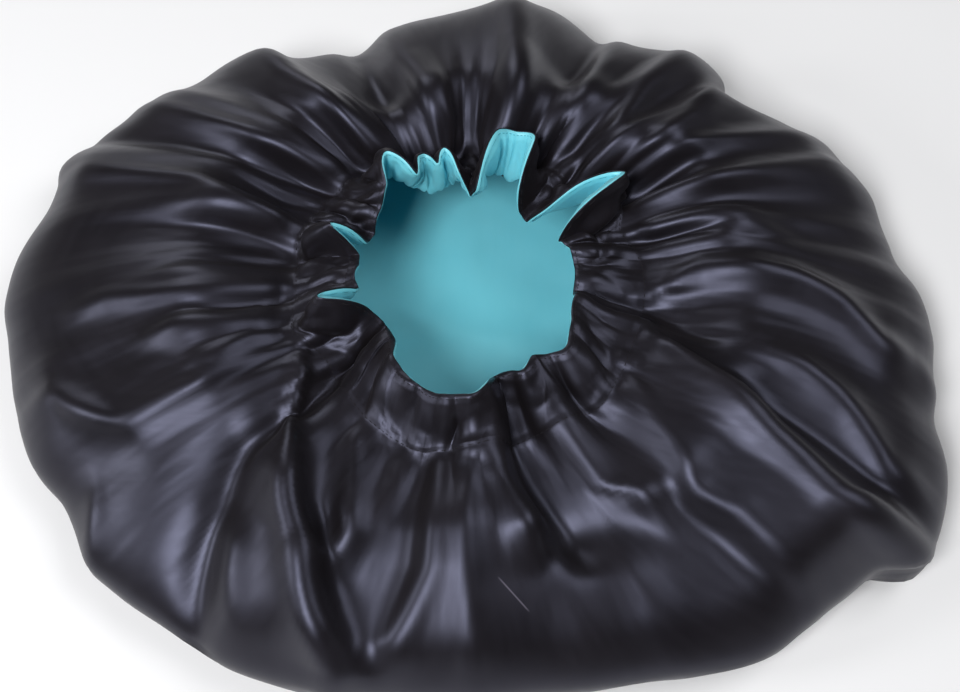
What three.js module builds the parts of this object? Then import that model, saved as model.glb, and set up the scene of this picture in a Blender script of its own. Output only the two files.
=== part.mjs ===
// A reversible satin hair bonnet, lying on its crown with the gathered opening upwards.
// Two round plies of satin, black outside and turquoise inside, are sewn together round the
// opening. A casing between two rows of stitching there holds the elastic band that draws it in.
// The frame has +Z up, +X to the right and +Y away from the viewer, with its origin on the
// floor under the middle of the crown. All lengths are in millimetres.
import * as THREE from "three";

// The body as it lies, over its outer fold.
const lyingWidth = 424;
const lyingDepth = 340;
const outerFoldHeight = 16;
const crestHeight = 63;
const foldRelief = 12;
const bodySetForward = 3;

// The gather line, where the inner row of stitching pulls the body into the casing.
const gatherWidth = 152;
const gatherDepth = 160;
const gatherHeight = 47;
const gatherSetBack = 5;

// The cloth, the elastic and the thread.
const satinThickness = 0.8;
const plyClearance = 0.6;
const elasticWidth = 25;
const elasticThickness = 1.2;
const elasticClearance = 0.35;
const threadDiameter = 0.6;
const threadClearance = 0.4;
const stitchInset = 1.2;
const closingRowSpacing = 2;
const closingRowLength = 40;
const lapLength = 20;
const lapZigzagPitch = 3;

// The casing is as wide as the elastic and the stitching on each side of it.
const casingMargin = stitchInset + threadDiameter + threadClearance;
const casingWidth = elasticWidth + 2 * casingMargin;
const casingGap = elasticThickness + 2 * elasticClearance;

// The mesh: columns run round the opening, and rings from the crown to the casing's edge.
const columns = 50;
const threadSides = 5;

// Where the outer fold lies in and out of the plain ellipse: [degrees round the body, share].
const outlineShares = [
  [0, 0.985], [12, 0.957], [22, 0.985], [32, 0.98], [40, 0.99], [48, 0.935], [57, 1.005],
  [63, 1.005], [70, 0.985], [80, 1.06], [90, 1.035], [98, 1], [107, 0.943], [118, 0.985],
  [130, 1.018], [146, 1.045], [160, 1], [170, 1.006], [184, 0.985], [200, 0.967],
  [210, 0.96], [222, 0.995], [236, 1.012], [250, 1.035], [262, 1.01], [275, 1.003],
  [290, 1.025], [302, 1.058], [312, 1.045], [320, 1.085], [327, 1.118], [334, 1.09],
  [344, 1.03], [352, 0.995],
];

// Where the gather line lies in and out of its plain ellipse: [degrees, share].
const gatherShares = [
  [0, 1], [28, 0.96], [38, 0.9], [50, 0.88], [65, 0.72], [79, 0.7], [87, 0.8], [98, 0.67],
  [112, 0.67], [130, 0.84], [150, 0.95], [200, 1], [220, 0.93], [240, 0.98], [260, 1.05],
  [275, 1.05], [290, 1], [311, 1.05], [330, 1],
];

// How high the gather line lies, as a share of its height at the near side: [degrees, share].
const gatherRises = [
  [0, 1], [22, 0.98], [34, 0.77], [44, 0.77], [54, 0.9], [66, 0.81], [88, 0.85], [98, 0.79],
  [112, 0.79], [123, 0.87], [140, 0.96], [200, 1],
];

// Where the opening's rim lies in plan, on the gather line's plain ellipse: [degrees, share].
const rimShares = [
  [0, 0.64], [22, 0.66], [29, 0.76], [36, 0.98], [43, 0.8], [50, 0.6], [58, 0.64], [65, 0.77],
  [79, 0.72], [86, 0.6], [94, 0.6], [101, 0.72], [115, 0.72], [130, 0.72], [151, 0.63],
  [159, 0.66], [166, 0.74], [173, 0.63], [187, 0.61], [194, 0.64], [202, 0.67], [209, 0.62],
  [220, 0.58], [236, 0.67], [252, 0.75], [270, 0.78], [290, 0.7], [310, 0.77], [324, 0.68],
  [345, 0.64],
];

// How high the body is, as a share of the crest's height: [degrees, share].
const crestRises = [
  [0, 1], [195, 1], [225, 0.93], [250, 0.87], [290, 0.87], [320, 0.93], [340, 1],
];

// The main folds of the body. Each runs outwards from the casing along a track of
// [share of the way to the outer fold, degrees], with its height as a share of the full
// relief, and its half widths in degrees on the clockwise and the other side.
const foldShares = [
  { track: [[0, 208], [0.11, 216], [0.28, 230], [0.56, 244], [0.93, 254]], height: 0.9, sides: [6, 5] },
  { track: [[0.05, 240], [0.42, 251]], height: 0.35, sides: [5, 5] },
  { track: [[0, 262], [0.24, 259], [0.54, 260], [0.92, 262]], height: 0.5, sides: [5, 8] },
  { track: [[0, 272], [0.3, 268], [0.95, 266]], height: 0.55, sides: [7, 10] },
  { track: [[0, 299], [0.32, 301]], height: 0.4, sides: [6, 6] },
  { track: [[0, 320], [0.31, 313], [0.6, 309], [0.95, 309]], height: 0.5, sides: [8, 7] },
  { track: [[0, 335], [0.27, 328], [0.6, 321], [1, 323]], height: 1, sides: [7, 6] },
  { track: [[0.2, 342], [0.5, 339], [0.8, 330]], height: 0.5, sides: [6, 7] },
  { track: [[0, 352], [0.32, 1], [0.64, 354], [0.9, 348]], height: 0.5, sides: [7, 7] },
  { track: [[0, 10], [0.36, 12]], height: 0.4, sides: [7, 7] },
  { track: [[0, 20], [0.85, 27]], height: 0.5, sides: [7, 7] },
  { track: [[0, 41], [0.3, 39], [0.6, 43], [1, 52]], height: 0.8, sides: [6, 6] },
  { track: [[0, 56], [0.5, 62], [1, 66]], height: 0.5, sides: [6, 6] },
  { track: [[0, 80], [0.3, 77], [0.6, 81], [1, 85]], height: 0.7, sides: [7, 7] },
  { track: [[0, 92], [0.3, 99], [0.8, 101]], height: 0.5, sides: [6, 6] },
  { track: [[0, 123], [0.3, 126], [1, 120]], height: 0.7, sides: [7, 7] },
  { track: [[0, 139], [0.3, 143], [1, 139]], height: 0.6, sides: [6, 6] },
  { track: [[0, 168], [0.4, 158], [0.85, 156]], height: 0.7, sides: [7, 7] },
  { track: [[0, 187], [0.6, 186]], height: 0.5, sides: [7, 7] },
  { track: [[0, 197], [0.4, 210], [0.85, 200]], height: 0.5, sides: [7, 7] },
  { track: [[0.4, 231], [0.9, 240]], height: 0.35, sides: [6, 6] },
  { track: [[0, 222], [0.4, 226], [1, 239]], height: -0.6, sides: [6, 6] },
  { track: [[0.1, 233], [0.4, 241], [0.85, 255]], height: -0.5, sides: [6, 6] },
  { track: [[0, 285], [0.5, 285], [0.8, 287]], height: -0.7, sides: [8, 8] },
  { track: [[0.1, 332], [0.7, 328]], height: -0.3, sides: [5, 5] },
  { track: [[0.4, 69], [1, 71]], height: -0.5, sides: [6, 6] },
  { track: [[0.3, 110], [1, 107]], height: -0.6, sides: [6, 6] },
  { track: [[0, 147], [0.9, 148]], height: -0.5, sides: [6, 6] },
];

// Shares of the profile: where the flat crown ends, where the body is highest, how round its
// shoulder is, and how quickly a fold fades in and out along its track.
const crownShare = 0.8;
const crestShare = 0.3;
const shoulderShare = 1.35;
const fadeInShare = 0.14;
const fadeOutShare = 0.22;
const mostMiter = 1.5;
const mostLean = 0.97;

// The rings of the mesh. The underside is measured from the crown's middle to the outer
// fold, the top from the gather line to the outer fold, and the casing across its width,
// where the two plies part on each side of the elastic.
const undersideShares = [crownShare, 0.94, 1];
const topShares = [0.94, 0.72, 0.45, 0.2, 0];
const casingShares = [casingMargin / casingWidth, 0.5, 1 - casingMargin / casingWidth, 1];

const turn = 2 * Math.PI;
const degree = Math.PI / 180;
const circleDegrees = 360;
const up = new THREE.Vector3(0, 0, 1);

/** A smooth step from 0 to 1 as x goes from 0 to 1. */
function smooth(x) {
  const t = THREE.MathUtils.clamp(x, 0, 1);
  return t * t * (3 - 2 * t);
}

/** The signed angle in degrees from b to a, between -180 and 180. */
function between(a, b) {
  return THREE.MathUtils.euclideanModulo(a - b + circleDegrees / 2, circleDegrees) - circleDegrees / 2;
}

/** A table of [degrees, value] read at any angle, smoothly and all the way round. */
function readRound(table, degrees) {
  const angle = THREE.MathUtils.euclideanModulo(degrees, circleDegrees);
  let next = table.findIndex(([at]) => at > angle);
  if (next < 0) next = table.length;
  const [from, low] = table[next - 1];
  const [to, high] = next < table.length ? table[next] : [circleDegrees, table[0][1]];
  return low + (high - low) * smooth((angle - from) / (to - from));
}

/** The angle of a fold's track at a share of the way out. */
function trackAngle(track, share) {
  const last = track.length - 1;
  if (share <= track[0][0]) return track[0][1];
  if (share >= track[last][0]) return track[last][1];
  const next = track.findIndex(([at]) => at > share);
  const [from, low] = track[next - 1];
  const [to, high] = track[next];
  return low + between(high, low) * ((share - from) / (to - from));
}

/** How high the folds lift the top at an angle and a share of the way out. */
function foldLift(degrees, share) {
  let lift = 0;
  for (const { track, height, sides } of foldShares) {
    const start = track[0][0];
    const end = track[track.length - 1][0];
    const fadeIn = start > 0 ? smooth((share - start) / fadeInShare) : 1;
    const fadeOut = end < 1 ? 1 - smooth((share - end) / fadeOutShare) : 1;
    const away = between(degrees, trackAngle(track, share));
    const width = away < 0 ? sides[0] : sides[1];
    lift += height * fadeIn * fadeOut * Math.exp(-((away / width) ** 2));
  }
  return lift * foldRelief;
}

/** A point of the gather line. */
function gatherPoint(degrees) {
  const angle = degrees * degree;
  const share = readRound(gatherShares, degrees);
  const across = (gatherWidth / 2) * share * Math.cos(angle);
  const along = (gatherDepth / 2) * share * Math.sin(angle) + gatherSetBack;
  return new THREE.Vector3(across, along, gatherHeight * readRound(gatherRises, degrees));
}

/** A point of the outer fold. */
function outerPoint(degrees) {
  const angle = degrees * degree;
  const share = readRound(outlineShares, degrees);
  const across = (lyingWidth / 2) * share * Math.cos(angle);
  const along = (lyingDepth / 2) * share * Math.sin(angle) - bodySetForward;
  return new THREE.Vector3(across, along, outerFoldHeight);
}

/** The underside: flat under the crown, then a quarter ellipse up to the outer fold. */
function undersidePoint(degrees, share) {
  const point = outerPoint(degrees).multiplyScalar(share);
  const rise = Math.max(0, (share - crownShare) / (1 - crownShare));
  point.z = outerFoldHeight * (1 - Math.sqrt(1 - rise * rise));
  return point;
}

/** The top: up from the gather line to the crest, then rounded down to the outer fold. */
function topPoint(degrees, share) {
  const point = gatherPoint(degrees);
  const gatherZ = point.z;
  const crestZ = crestHeight * readRound(crestRises, degrees);
  point.lerp(outerPoint(degrees), share).setZ(gatherZ);
  if (share < crestShare) {
    const climb = Math.sin((turn / 4) * (share / crestShare));
    point.z += (crestZ - point.z) * climb;
  } else {
    const out = (share - crestShare) / (1 - crestShare);
    const round = Math.sqrt(1 - out ** shoulderShare);
    point.z = outerFoldHeight + (crestZ - outerFoldHeight) * round;
  }
  point.z += foldLift(degrees, share) * smooth((1 - share) / fadeOutShare) * smooth(share / fadeInShare);
  return point;
}

/** The casing: it stands on the gather line, tilted so that it reaches the rim's place in plan. */
function casingPoint(degrees, share) {
  const angle = degrees * degree;
  const plain = Math.hypot(gatherWidth * Math.cos(angle), gatherDepth * Math.sin(angle)) / 2;
  const inset = (readRound(gatherShares, degrees) - readRound(rimShares, degrees)) * plain;
  const tilt = Math.acos(THREE.MathUtils.clamp(inset / casingWidth, -mostLean, mostLean));
  const point = gatherPoint(degrees);
  const inwards = new THREE.Vector3(-point.x, gatherSetBack - point.y, 0).normalize();
  return point
    .addScaledVector(inwards, share * casingWidth * Math.cos(tilt))
    .addScaledVector(up, share * casingWidth * Math.sin(tilt));
}

// The outer face of the bonnet as rings of points, from the crown to the casing's edge.
const columnDegrees = Array.from({ length: columns }, (_, i) => (i * circleDegrees) / columns);
const face = [
  ...undersideShares.map((share) => columnDegrees.map((d) => undersidePoint(d, share))),
  ...topShares.map((share) => columnDegrees.map((d) => topPoint(d, share))),
  ...casingShares.map((share) => columnDegrees.map((d) => casingPoint(d, share))),
];
const gatherRing = undersideShares.length + topShares.length - 1;
const edgeRing = face.length - 1;

/** The way out of the face at a ring and column, longer where the face bends sharply. */
function outward(ring, column) {
  const point = face[ring][column];
  const before = face[ring][(column + columns - 1) % columns];
  const after = face[ring][(column + 1) % columns];
  const inner = ring > 0 ? face[ring - 1][column] : new THREE.Vector3();
  const arriving = point.clone().sub(inner).normalize();
  const leaving = ring < edgeRing ? face[ring + 1][column].clone().sub(point) : arriving.clone();
  const along = arriving.add(leaving.normalize());
  const miter = Math.min(mostMiter, 2 / along.length());
  return after.clone().sub(before).cross(along).normalize().multiplyScalar(miter);
}
const normals = face.map((ring, r) => ring.map((_, c) => outward(r, c)));

// The lapped ends of the elastic cover a few columns, where the casing holds two layers.
const elasticRun = (Math.PI * (gatherWidth + gatherDepth)) / 2 - Math.PI * casingWidth;
const lapColumns = Math.max(2, Math.round((lapLength * columns) / elasticRun));
const lapExtraGap = elasticThickness + 2 * elasticClearance + threadDiameter;

/** The space between the two plies at a ring and column. */
function plyGap(ring, column) {
  if (ring <= gatherRing || ring === edgeRing) return plyClearance;
  return casingGap + (column <= lapColumns ? lapExtraGap : 0);
}

/** The point at a depth under the outer face, on a ring and column. */
function under(ring, column, depth) {
  const c = THREE.MathUtils.euclideanModulo(column, columns);
  return face[ring][c].clone().addScaledVector(normals[ring][c], -depth);
}

/** A point on the casing's facets, at a place across it and at a column or between two. */
function inCasing(place, column, depthOf) {
  const share = place / casingWidth;
  const step = casingShares.findIndex((end) => share <= end);
  const begin = step > 0 ? casingShares[step - 1] : 0;
  const v = (share - begin) / (casingShares[step] - begin);
  const left = Math.floor(column);
  const u = column - left;
  const at = (row, c) => {
    const ring = gatherRing + step + row;
    return under(ring, c, depthOf(ring, THREE.MathUtils.euclideanModulo(c, columns)));
  };
  const [first, last] = [at(0, left), at(1, left + 1)];
  if (u === 0) return first.lerp(at(1, left), v);
  const corner = u >= v ? at(0, left + 1) : at(1, left);
  const [toCorner, toLast] = u >= v ? [u, v] : [v, u];
  return first
    .multiplyScalar(1 - toCorner)
    .addScaledVector(corner, toCorner - toLast)
    .addScaledVector(last, toLast);
}

/** A geometry from triangles given as lists of three points. */
function fromTriangles(triangles) {
  const numbers = triangles.flatMap((t) => t.flatMap((p) => [p.x, p.y, p.z]));
  const geometry = new THREE.BufferGeometry();
  geometry.setAttribute("position", new THREE.Float32BufferAttribute(numbers, 3));
  return geometry;
}

/** The triangles turned to face the other way. */
function flip(triangles) {
  return triangles.map(([a, b, c]) => [a, c, b]);
}

/** The triangles between two rows of points; a closed row comes back to its first point. */
function strip(low, high, closed) {
  const last = closed ? low.length : low.length - 1;
  return low.slice(0, last).flatMap((point, i) => {
    const j = (i + 1) % low.length;
    return [[point, low[j], high[j]], [point, high[j], high[i]]];
  });
}

/** The triangles that join the rows of a list in order. */
function skin(rows, closed) {
  return rows.slice(1).flatMap((row, i) => strip(rows[i], row, closed));
}

/** The triangles from a closed ring of points to one point in its middle. */
function fan(ring, middle) {
  return ring.map((point, i) => [middle, ring[(i + 1) % ring.length], point]);
}

/** One ply: a closed skin between two depths, alike on both faces, with a lip at the edge. */
function ply(outerDepth, innerDepth) {
  const grid = (depth) => face.map((ring, r) => ring.map((_, c) => under(r, c, depth(r, c))));
  const outer = grid(outerDepth);
  const inner = grid(innerDepth);
  const middle = (depth) => up.clone().multiplyScalar(depth(0, 0));
  return fromTriangles([
    ...fan(outer[0], middle(outerDepth)),
    ...skin(outer, true),
    ...strip(outer[edgeRing], inner[edgeRing], true),
    ...flip(skin(inner, true)),
    ...flip(fan(inner[0], middle(innerDepth))),
  ]);
}

/** A closed or open tube of thread along points. */
function thread(points, closed) {
  const radius = threadDiameter / 2;
  const count = points.length;
  const rings = points.map((point, i) => {
    const before = closed ? points[(i + count - 1) % count] : points[Math.max(i - 1, 0)];
    const after = closed ? points[(i + 1) % count] : points[Math.min(i + 1, count - 1)];
    const along = after.clone().sub(before).normalize();
    const side = new THREE.Vector3().crossVectors(along, up).normalize();
    const over = new THREE.Vector3().crossVectors(along, side);
    return Array.from({ length: threadSides }, (_, k) => {
      const angle = (k * turn) / threadSides;
      return point
        .clone()
        .addScaledVector(side, radius * Math.cos(angle))
        .addScaledVector(over, radius * Math.sin(angle));
    });
  });
  if (closed) return fromTriangles(skin([...rings, rings[0]], true));
  const last = count - 1;
  return fromTriangles([
    ...fan(rings[0], points[0]),
    ...skin(rings, true),
    ...flip(fan(rings[last], points[last])),
  ]);
}

/** A row of stitching round the casing, at a place across it and a depth of its own. */
function stitchRow(place, depthOf) {
  const halfColumns = Array.from({ length: 2 * columns }, (_, k) => k / 2);
  return thread(halfColumns.map((column) => inCasing(place, column, depthOf)), true);
}

// Depths under the outer face, at a ring and column.
const shellOuter = () => 0;
const shellInner = () => satinThickness;
const liningOuter = (ring, column) => satinThickness + plyGap(ring, column);
const liningInner = (ring, column) => liningOuter(ring, column) + satinThickness;
const aboveShell = () => -(threadClearance + threadDiameter / 2);
const belowLining = (ring, column) =>
  liningInner(ring, column) + threadClearance + threadDiameter / 2;

/** The elastic: one strip round the casing, whose second end lies over the first. */
function elasticBand() {
  const first = satinThickness + elasticClearance;
  const second = first + elasticThickness + elasticClearance;
  const places = [casingMargin, casingWidth / 2, casingWidth - casingMargin];
  const stations = Array.from({ length: columns + lapColumns + 1 }, (_, k) => k);
  const rows = (lower) =>
    places.map((place) =>
      stations.map((k) => inCasing(place, k, () => (k < columns ? first : second) + lower)),
    );
  const outer = rows(0);
  const inner = rows(elasticThickness);
  const last = places.length - 1;
  const end = (grid, k) => grid.map((row) => row[k]);
  return fromTriangles([
    ...skin(outer, false),
    ...flip(skin(inner, false)),
    ...strip(outer[last], inner[last], false),
    ...flip(strip(outer[0], inner[0], false)),
    ...strip(end(outer, 0), end(inner, 0), false),
    ...flip(strip(end(outer, columns + lapColumns), end(inner, columns + lapColumns), false)),
  ]);
}

/** The zigzag that joins the elastic's lapped ends, across the band in the lap's middle. */
function lapZigzag() {
  const first = satinThickness + elasticClearance;
  const depth =
    first + 2 * elasticThickness + elasticClearance + threadClearance + threadDiameter / 2;
  const turns = Math.floor((elasticWidth - lapZigzagPitch) / lapZigzagPitch);
  const start = (casingWidth - turns * lapZigzagPitch) / 2;
  const columnShares = [0.2, 0.8];
  const middle = Math.floor(lapColumns / 2);
  const points = Array.from({ length: turns + 1 }, (_, i) =>
    inCasing(start + i * lapZigzagPitch, middle + columnShares[i % 2], () => depth),
  );
  return thread(points, false);
}

/** The short second row that closes the gap through which the elastic was threaded. */
function closingStitches() {
  const place = casingWidth - stitchInset - closingRowSpacing;
  const run = Math.max(2, Math.round((closingRowLength * columns) / elasticRun));
  const start = Math.round(columns / 2);
  const halfColumns = Array.from({ length: 2 * run + 1 }, (_, k) => start + k / 2);
  return thread(halfColumns.map((column) => inCasing(place, column, aboveShell)), false);
}

/** The seam that joins the two plies, between them just inside the casing's edge. */
function edgeSeam() {
  const halfGap = (ring, column) => satinThickness + plyGap(ring, column) / 2;
  return stitchRow(casingWidth - stitchInset, halfGap);
}

const blackSatin = new THREE.MeshStandardMaterial({ color: 0x2e2a30, roughness: 0.35 });
const turquoiseSatin = new THREE.MeshStandardMaterial({ color: 0x62b6c4, roughness: 0.45 });
const whiteElastic = new THREE.MeshStandardMaterial({ color: 0xe8e6e0, roughness: 0.85 });
const blackThread = new THREE.MeshStandardMaterial({ color: 0x1c1a1e, roughness: 0.7 });
const turquoiseThread = new THREE.MeshStandardMaterial({ color: 0x4fa3b3, roughness: 0.7 });

const bonnet = new THREE.Group();

/** Adds one named piece to the bonnet. */
function add(name, geometry, material) {
  const mesh = new THREE.Mesh(geometry, material);
  mesh.name = name;
  bonnet.add(mesh);
}

add("outer_shell", ply(shellOuter, shellInner), blackSatin);
add("lining", ply(liningOuter, liningInner), turquoiseSatin);
add("elastic_band", elasticBand(), whiteElastic);
add("elastic_lap_stitches", lapZigzag(), blackThread);
add("edge_seam_thread", edgeSeam(), blackThread);
add("edge_needle_thread", stitchRow(casingWidth - stitchInset, aboveShell), blackThread);
add("edge_bobbin_thread", stitchRow(casingWidth - stitchInset, belowLining), turquoiseThread);
add("channel_needle_thread", stitchRow(stitchInset, aboveShell), blackThread);
add("channel_bobbin_thread", stitchRow(stitchInset, belowLining), turquoiseThread);
add("closing_stitches", closingStitches(), blackThread);

export default bonnet;
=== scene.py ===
"""A reversible satin hair bonnet, lying on its crown with its gathered opening upwards.

Two round plies of satin, black outside and turquoise inside, lie against each other. They are
drawn in by an elastic band in a casing between two rows of stitching. The floor is at Z = 0,
+X is to the viewer's right and +Y away from the viewer. All lengths are in metres.

Places on the cloth are given by an angle round the opening, in degrees from +X towards +Y, and
by a share: on the body from 0 at the gather line to 1 at the outer fold, and on the casing from
0 at the gather line to 1 at the opening's edge.
"""

import logging
import time
from collections.abc import Mapping
from dataclasses import dataclass, field
from enum import Enum

import bpy
import numpy as np
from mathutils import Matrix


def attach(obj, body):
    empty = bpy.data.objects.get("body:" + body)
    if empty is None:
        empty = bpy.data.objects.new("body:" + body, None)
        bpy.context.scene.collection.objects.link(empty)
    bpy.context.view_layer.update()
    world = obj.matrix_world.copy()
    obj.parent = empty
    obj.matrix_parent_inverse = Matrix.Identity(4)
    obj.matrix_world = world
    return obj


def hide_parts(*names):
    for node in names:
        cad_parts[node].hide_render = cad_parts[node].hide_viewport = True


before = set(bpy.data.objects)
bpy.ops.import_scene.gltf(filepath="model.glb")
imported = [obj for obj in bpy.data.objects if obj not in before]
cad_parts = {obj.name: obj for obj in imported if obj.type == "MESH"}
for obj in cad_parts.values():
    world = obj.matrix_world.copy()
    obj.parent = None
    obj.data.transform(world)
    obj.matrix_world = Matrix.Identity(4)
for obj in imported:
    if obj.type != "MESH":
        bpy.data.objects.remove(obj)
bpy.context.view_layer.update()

LOG = logging.getLogger("bonnet")
MM = 0.001
FULL_CIRCLE = 360.0
TINY = 1e-12

Array = np.ndarray
Colour = tuple[float, float, float]


def smooth(x: Array | float) -> Array:
    """Smooth step: 0 up to x = 0, 1 from x = 1, and 3x^2 - 2x^3 between them.

    Args:
        x: The place on the step.

    Returns:
        The step's height, from 0 to 1.
    """
    t = np.clip(x, 0.0, 1.0)
    return t * t * (3.0 - 2.0 * t)


def ramp(x: Array, span: tuple[float, float]) -> Array:
    """A smooth step that begins at the first value of span and is as long as the second."""
    return smooth((x - span[0]) / span[1])


def raised(least: float, share: Array) -> Array:
    """A share that starts from least in place of 0: least + (1 - least) * share."""
    return least + (1 - least) * share


def turned(a: Array | float, b: Array | float) -> Array:
    """The signed angle from b to a, in degrees between -180 and 180.

    Args:
        a: The angle that is reached.
        b: The angle that it is measured from.

    Returns:
        The difference, wrapped round the circle.
    """
    half = FULL_CIRCLE / 2
    return np.mod(np.asarray(a) - b + half, FULL_CIRCLE) - half


def unit(vectors: Array) -> Array:
    """Vectors divided by their lengths.

    Args:
        vectors: Vectors along the last axis.

    Returns:
        Vectors of length 1 that point the same way.
    """
    return vectors / np.maximum(np.linalg.norm(vectors, axis=-1, keepdims=True), TINY)


@dataclass(frozen=True)
class RoundTable:
    """A quantity known at some angles round the opening, and smooth between them.

    Between two stations it follows a cubic whose slope at each station is the harmonic mean of
    the slopes on both sides, or zero at a peak, so it never overshoots what is written.

    Attributes:
        stations: Pairs of an angle in degrees and the quantity there.
    """

    stations: tuple[tuple[float, float], ...]

    def read(self, degrees: Array) -> Array:
        """The quantity at the given angles.

        Args:
            degrees: Angles round the opening.

        Returns:
            The quantity at each of them.
        """
        at, value = np.array(self.stations, float).T
        at = np.concatenate([at[-1:] - FULL_CIRCLE, at, at[:2] + FULL_CIRCLE])
        value = np.concatenate([value[-1:], value, value[:2]])
        step = np.diff(at)
        rise = np.diff(value) / step
        before, after = rise[:-1], rise[1:]
        same = before * after > 0
        mean = np.where(same, 2 * before * after / np.where(same, before + after, 1.0), 0.0)
        slope = np.concatenate([mean[-1:], mean, mean[:1]])
        angle = np.mod(degrees - at[1], FULL_CIRCLE) + at[1]
        k = np.clip(np.searchsorted(at, angle, side="right") - 1, 0, len(at) - 2)
        t = (angle - at[k]) / step[k]
        low = (1 + 2 * t) * (1 - t) ** 2 * value[k] + t * (1 - t) ** 2 * step[k] * slope[k]
        high = t * t * (3 - 2 * t) * value[k + 1] + t * t * (t - 1) * step[k] * slope[k + 1]
        return low + high


@dataclass(frozen=True)
class Fold:
    """One main fold of the body, from the casing outwards.

    Its height over the body is height * exp(-(sqrt(x^2 + tip^2) - tip)), where x is the angle
    from its track over its side's width: a crisp crest with hollow flanks. It fades in and out
    at the ends of the track.

    Attributes:
        track: Pairs of a share of the way out and the crest's angle there.
        height: The height as a share of the full relief, negative in a valley.
        sides: The widths in degrees on the side of smaller and of larger angles.
        tip: How blunt the crest is.
        fade_in: The share of the way over which the fold rises at its start.
        fade_out: The share over which it sinks at its end.
    """

    track: tuple[tuple[float, float], ...]
    height: float
    sides: tuple[float, float] = (6.0, 6.0)
    tip: float = 0.3
    fade_in: float = 0.14
    fade_out: float = 0.24

    def lift(self, degrees: Array, share: Array, side: float | None = None) -> Array:
        """The fold's height as a share of the full relief.

        Args:
            degrees: Angles round the opening.
            share: Shares of the way out to the outer fold.
            side: The width of both sides, in place of the fold's own.

        Returns:
            The height at each place, negative in a valley.
        """
        at, angle = np.array(self.track, float).T
        angle = np.degrees(np.unwrap(np.radians(angle)))
        away = turned(degrees, np.interp(share, at, angle))
        width = side or np.where(away < 0, self.sides[0], self.sides[1])
        starts = smooth((share - at[0]) / self.fade_in) if at[0] > 0 else 1.0
        ends = 1.0 - smooth((share - at[-1]) / self.fade_out) if at[-1] < 1 else 1.0
        profile = np.exp(self.tip - np.sqrt((away / width) ** 2 + self.tip**2))
        return self.height * starts * ends * profile


@dataclass(frozen=True)
class Pinch:
    """One small crease that the gathering makes, which fades on its way out.

    Its depth is depth * exp(-(sqrt(away^2 + soft^2) - soft) / width), a cusp with a soft tip.
    A depth under zero makes a small ridge. It starts at half its depth, deepens, fades towards
    the end of its reach, and widens on its way out.

    Attributes:
        angle: Its angle at the gather line, in degrees.
        drift: How far it has turned from there at the outer fold, in degrees.
        reach: The share of the way out at which it ends.
        depth: Its depth in metres.
        width: Its width in degrees.
        soft: How blunt its tip is, in degrees.
        widening: How much wider it gets on the whole way out, as a share.
        rise: Its reach over the part of it in which it deepens.
    """

    angle: float
    drift: float
    reach: float
    depth: float
    width: float = 1.9
    soft: float = 0.9
    widening: float = 0.8
    rise: float = 3.0

    def depth_at(self, degrees: Array, share: Array) -> Array:
        """The crease's depth in metres.

        Args:
            degrees: Angles round the opening.
            share: Shares of the way out to the outer fold.

        Returns:
            The depth at each place, zero past the crease's reach.
        """
        away = turned(degrees, self.angle + self.drift * share)
        width = self.width * (1.0 + self.widening * share)
        cusp = np.exp(-(np.sqrt(away**2 + self.soft**2) - self.soft) / width)
        along = share / self.reach
        return self.depth * raised(0.5, smooth(along * self.rise)) * (1 - smooth(along)) * cusp


@dataclass(frozen=True)
class Creasing:
    """A seeded unevenness round the opening, whose zeros run outwards, bend and branch.

    It is a sum of sines of the angle, each with its own count of waves, start and bending. Each
    sine swells and sinks on its way out, and the root mean square of the sum is about 0.7.

    Attributes:
        seed: What the draws start from.
        waves: The least count of waves round the opening, and the count that none reaches.
        count: How many sines there are.
        bend: How far the waves swing to the side, in radians.
        speed: How fast they change on the way out.
        bends: The least count of waves of the bending, and the count that none reaches.
        speeds: The least and the greatest factor of the speed.
        swelling: A sine's mean strength, and how far it swells from there.
        evening: The square of what the sum is divided by, for each sine.
        ridge_top: How high a ridge stands over the value's size.
    """

    seed: int
    waves: tuple[int, int]
    count: int
    bend: float
    speed: float
    bends: tuple[int, int] = (1, 6)
    speeds: tuple[float, float] = (0.5, 1.5)
    swelling: tuple[float, float] = (0.65, 0.5)
    evening: float = 0.55
    ridge_top: float = 0.8

    def read(self, degrees: Array, place: Array) -> Array:
        """The unevenness, positive or negative.

        Args:
            degrees: Angles round the opening.
            place: How far out each place lies, in a unit of the caller's.

        Returns:
            The value at each place.
        """
        rng = np.random.default_rng(self.seed)
        turn = np.radians(degrees)
        value = np.zeros(np.broadcast_shapes(np.shape(degrees), np.shape(place)))
        mean, more = self.swelling
        for _ in range(self.count):
            times, other = rng.integers(*self.waves), rng.integers(*self.bends)
            start, swell = rng.uniform(0, 2 * np.pi, 2)
            bend, speed = self.bend * rng.normal(), self.speed * rng.uniform(*self.speeds)
            wave = np.sin(times * turn + start + bend * np.sin(speed * place + other * turn))
            value = value + wave * (mean + more * np.sin(speed * place + other * turn + swell))
        return value / (self.evening * self.count) ** 0.5

    def ridges(self, degrees: Array, place: Array, tip: float) -> Array:
        """Ridges where the unevenness crosses zero: ridge_top - sqrt(value^2 + tip).

        Args:
            degrees: Angles round the opening.
            place: How far out each place lies, in a unit of the caller's.
            tip: How blunt the ridges are.

        Returns:
            Their heights, negative between them.
        """
        return self.ridge_top - np.sqrt(self.read(degrees, place) ** 2 + tip)


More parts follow.
